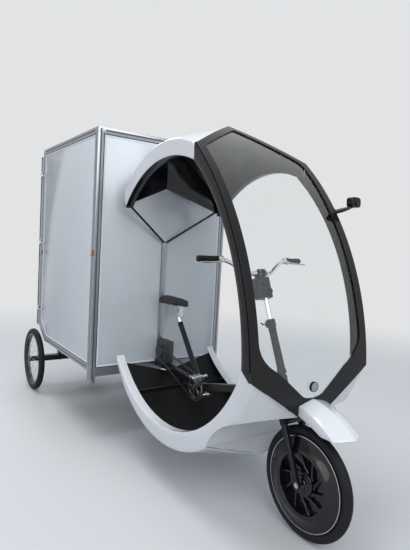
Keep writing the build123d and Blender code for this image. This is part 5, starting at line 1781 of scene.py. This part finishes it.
# %% Lamp rim and shell screws
lamp_rim = turned("headlamp_rim", Vector((1.3195, 0.0, 0.700)), AHEAD, [
    (0.0, 0.0225), (0.0035, 0.0236), (0.0110, 0.0234), (0.0132, 0.0222), (0.0128, 0.0210), (0.0080, 0.0206),
], "border_black", 48)
finished(lamp_rim, "chassis", "border_black")
arch_spots = [(1.152, 0.365, 0.4895), (1.060, 0.365, 0.4640)]
arch_screws = heads_on_both_sides("arch_screws", arch_spots, 0.0045, 0.0035)
finished(arch_screws, "chassis", "steel_bright")
print("lamp rim faces", len(lamp_rim.data.polygons), "screw faces", len(arch_screws.data.polygons))

# %% [markdown]
# Where the hood's edge runs past the pillar there is a seam, wide at the top and closed
# at its foot. A tapered rubber seal fills it, as wide at each end as the seam there, so
# that no line of light shows through.

# %% Seals between the hood and the pillars
seam_top = (hood_row(1.0)[-1], Vector(screen_corner))
seam_foot = (hood_edge.at(1.0), pillar_edge.at(0.0))
seam = (seam_top, seam_foot)
seam_middles = [(hood_side + pillar_side) / 2 for hood_side, pillar_side in seam]
seam_gaps = [(hood_side - pillar_side).length for hood_side, pillar_side in seam]
seal_radii = [gap / 2 + 0.0008 for gap in seam_gaps]
seals = []
for side in (1, -1):
    route = [Vector((p.x, side * (HALF_WIDTH - 0.0012 - r), p.y)) for p, r in zip(seam_middles, seal_radii)]
    line = [route[0].lerp(route[1], s / 12) for s in range(13)]
    seals.append(tube("seal", line, seal_radii[0], "rubber_black", 12, 1.0, seal_radii[1] / seal_radii[0]))
finished(joined("hood_seals", seals), "chassis", "rubber_black")
print("seam gaps, mm", [round(1000 * gap, 1) for gap in seam_gaps])

# %% [markdown]
# A platform pedal is a thin cage round a spindle: two toothed plates that grip the sole,
# two end plates and a round body for the bearings. Each plate is an outline given a
# thickness, so the teeth are part of the outline.

# %% Pedals
def plate(name, outline, place, wall, finish_name):
    """A flat plate: an outline of (a, b) points, which place turns into points in space."""
    points = [place(a, b, c) for c in (-wall / 2, wall / 2) for a, b in outline]
    cells = end_caps(2, len(outline)) + ring_cells(2, len(outline))
    return closed_piece(name, points, cells, finish_name, 30)


def toothed_edge(half_length, half_height, teeth):
    top = []
    for tooth in range(teeth):
        left = -half_length + 2 * half_length * (tooth + 0.15) / teeth
        right = -half_length + 2 * half_length * (tooth + 0.85) / teeth
        rise = half_height if tooth % 2 else half_height * 0.62
        top += [(left, rise * 0.8), (left + 0.0012, rise), (right - 0.0012, rise), (right, rise * 0.8)]
    return top + [(a, -b) for a, b in reversed(top)]


CAGE_HALF = 0.041


def build_pedal(side):
    word = word_for(side)
    low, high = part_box(f"pedal_{word}")
    middle = (Vector(low) + Vector(high)) / 2
    parts = [turned("body", Vector((middle.x, side * 0.072, middle.z)), LEFT * side, [
        (0.0, 0.0050), (0.0, 0.0065), (0.010, 0.0065), (0.012, 0.0082), (0.074, 0.0082), (0.078, 0.0070),
        (0.080, 0.0040),
    ], "alloy_bright", 28)]
    for edge in (1, -1):
        def place(a, b, c, edge=edge):
            bowed = edge * (0.0292 - 0.0035 * abs(a / CAGE_HALF) ** 3)
            return middle + AHEAD * (bowed + c) + LEFT * a + UP * b

        parts.append(plate("cage", toothed_edge(CAGE_HALF, 0.0088, 9), place, 0.0022, "alloy_bright"))
    for along in (-0.030, 0.0, 0.032):
        parts.append(rounded_block("bar", middle + LEFT * along, (AHEAD, LEFT, UP),
                                   (0.0285, 0.0032, 0.0040), "alloy_bright", 4, 24, 0.05))
    return finished(joined(f"pedal_cage_{word}", parts), "cranks", "alloy_bright", f"pedal_{word}")


pedals = [build_pedal(side) for side in (1, -1)]
print("pedal faces", len(pedals[0].data.polygons))

# %% [markdown]
# The motor on the rear axle is a cast housing. Casting leaves full corners, and the fins
# that cool it run round the body, with a flat cover held by screws at each end.

# %% Motor and gear unit
def build_motor():
    low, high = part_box("motor_block")
    middle = (Vector(low) + Vector(high)) / 2
    axes = (LEFT, AHEAD, UP)
    parts = [rounded_block("body", middle, axes, (0.086, 0.076, 0.067), "cast_metal", 6, 64, 0.05)]
    for fin in range(11):
        place = middle + LEFT * (-0.060 + 0.012 * fin)
        parts.append(rounded_block("fin", place, axes, (0.0020, 0.0845, 0.0745), "cast_metal", 6, 64, 0.02))
    for side in (1, -1):
        place = middle + LEFT * side * 0.0785
        parts.append(rounded_block("cover", place, axes, (0.0080, 0.0800, 0.0700), "cast_metal", 7, 64, 0.04))
    motor = finished(joined("motor_housing", parts), "chassis", "cast_metal", "motor_block")
    heads = []
    for side in (1, -1):
        place = middle + LEFT * side * 0.0862
        spots = [place + AHEAD * a * 0.062 + UP * b * 0.052 for a in (-1, 1) for b in (-1, 1)]
        heads.append(bolt_heads("screws", spots, 0.0035, 0.0030, "steel_bright", axis=(0, side, 0)))
    finished(joined("motor_screws", heads), "chassis", "steel_bright")
    return motor


motor = build_motor()
low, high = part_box("gearbox")
gear_x = [low[0] + (high[0] - low[0]) * share for share in (0.16, 0.84)]
gear_z = [low[2] + (high[2] - low[2]) * share for share in (0.14, 0.86)]
gear_spots = [(x, high[1] - 0.0002, z) for x in gear_x for z in gear_z]
gear_screws = bolt_heads("gear_screws", gear_spots, 0.0032, 0.0028, "steel_bright", axis=(0, 1, 0))
finished(gear_screws, "chassis", "steel_bright")
print("motor faces", len(motor.data.polygons))

# %% [markdown]
# The small lamps sit on black bases that stand out a little all round, because a lens is
# always clipped or screwed to something. The red ones at the back are split by a bar into
# a tail lamp and a reflector.

# %% Lamp bases
bases = []
for x, z in ((-0.107, 1.213), (-1.231, 1.164)):
    for side in (1, -1):
        bases.append(rounded_block("base", (x, side * 0.5018, z), (LEFT, AHEAD, UP),
                                   (0.0022, 0.0155, 0.0195), "border_black", 5, 36, 0.04))
for side in (1, -1):
    bases.append(rounded_block("base", (-1.2548, side * 0.405, 0.5155), (AHEAD, LEFT, UP),
                               (0.0040, 0.0485, 0.0205), "border_black", 6, 48, 0.03))
    bases.append(rounded_block("bar", (-1.2630, side * 0.395, 0.5155), (AHEAD, LEFT, UP),
                               (0.0112, 0.0022, 0.0180), "border_black", 6, 24, 0.03))
lamp_bases = finished(joined("lamp_bases", bases), "chassis", "border_black")
print("lamp base faces", len(lamp_bases.data.polygons))
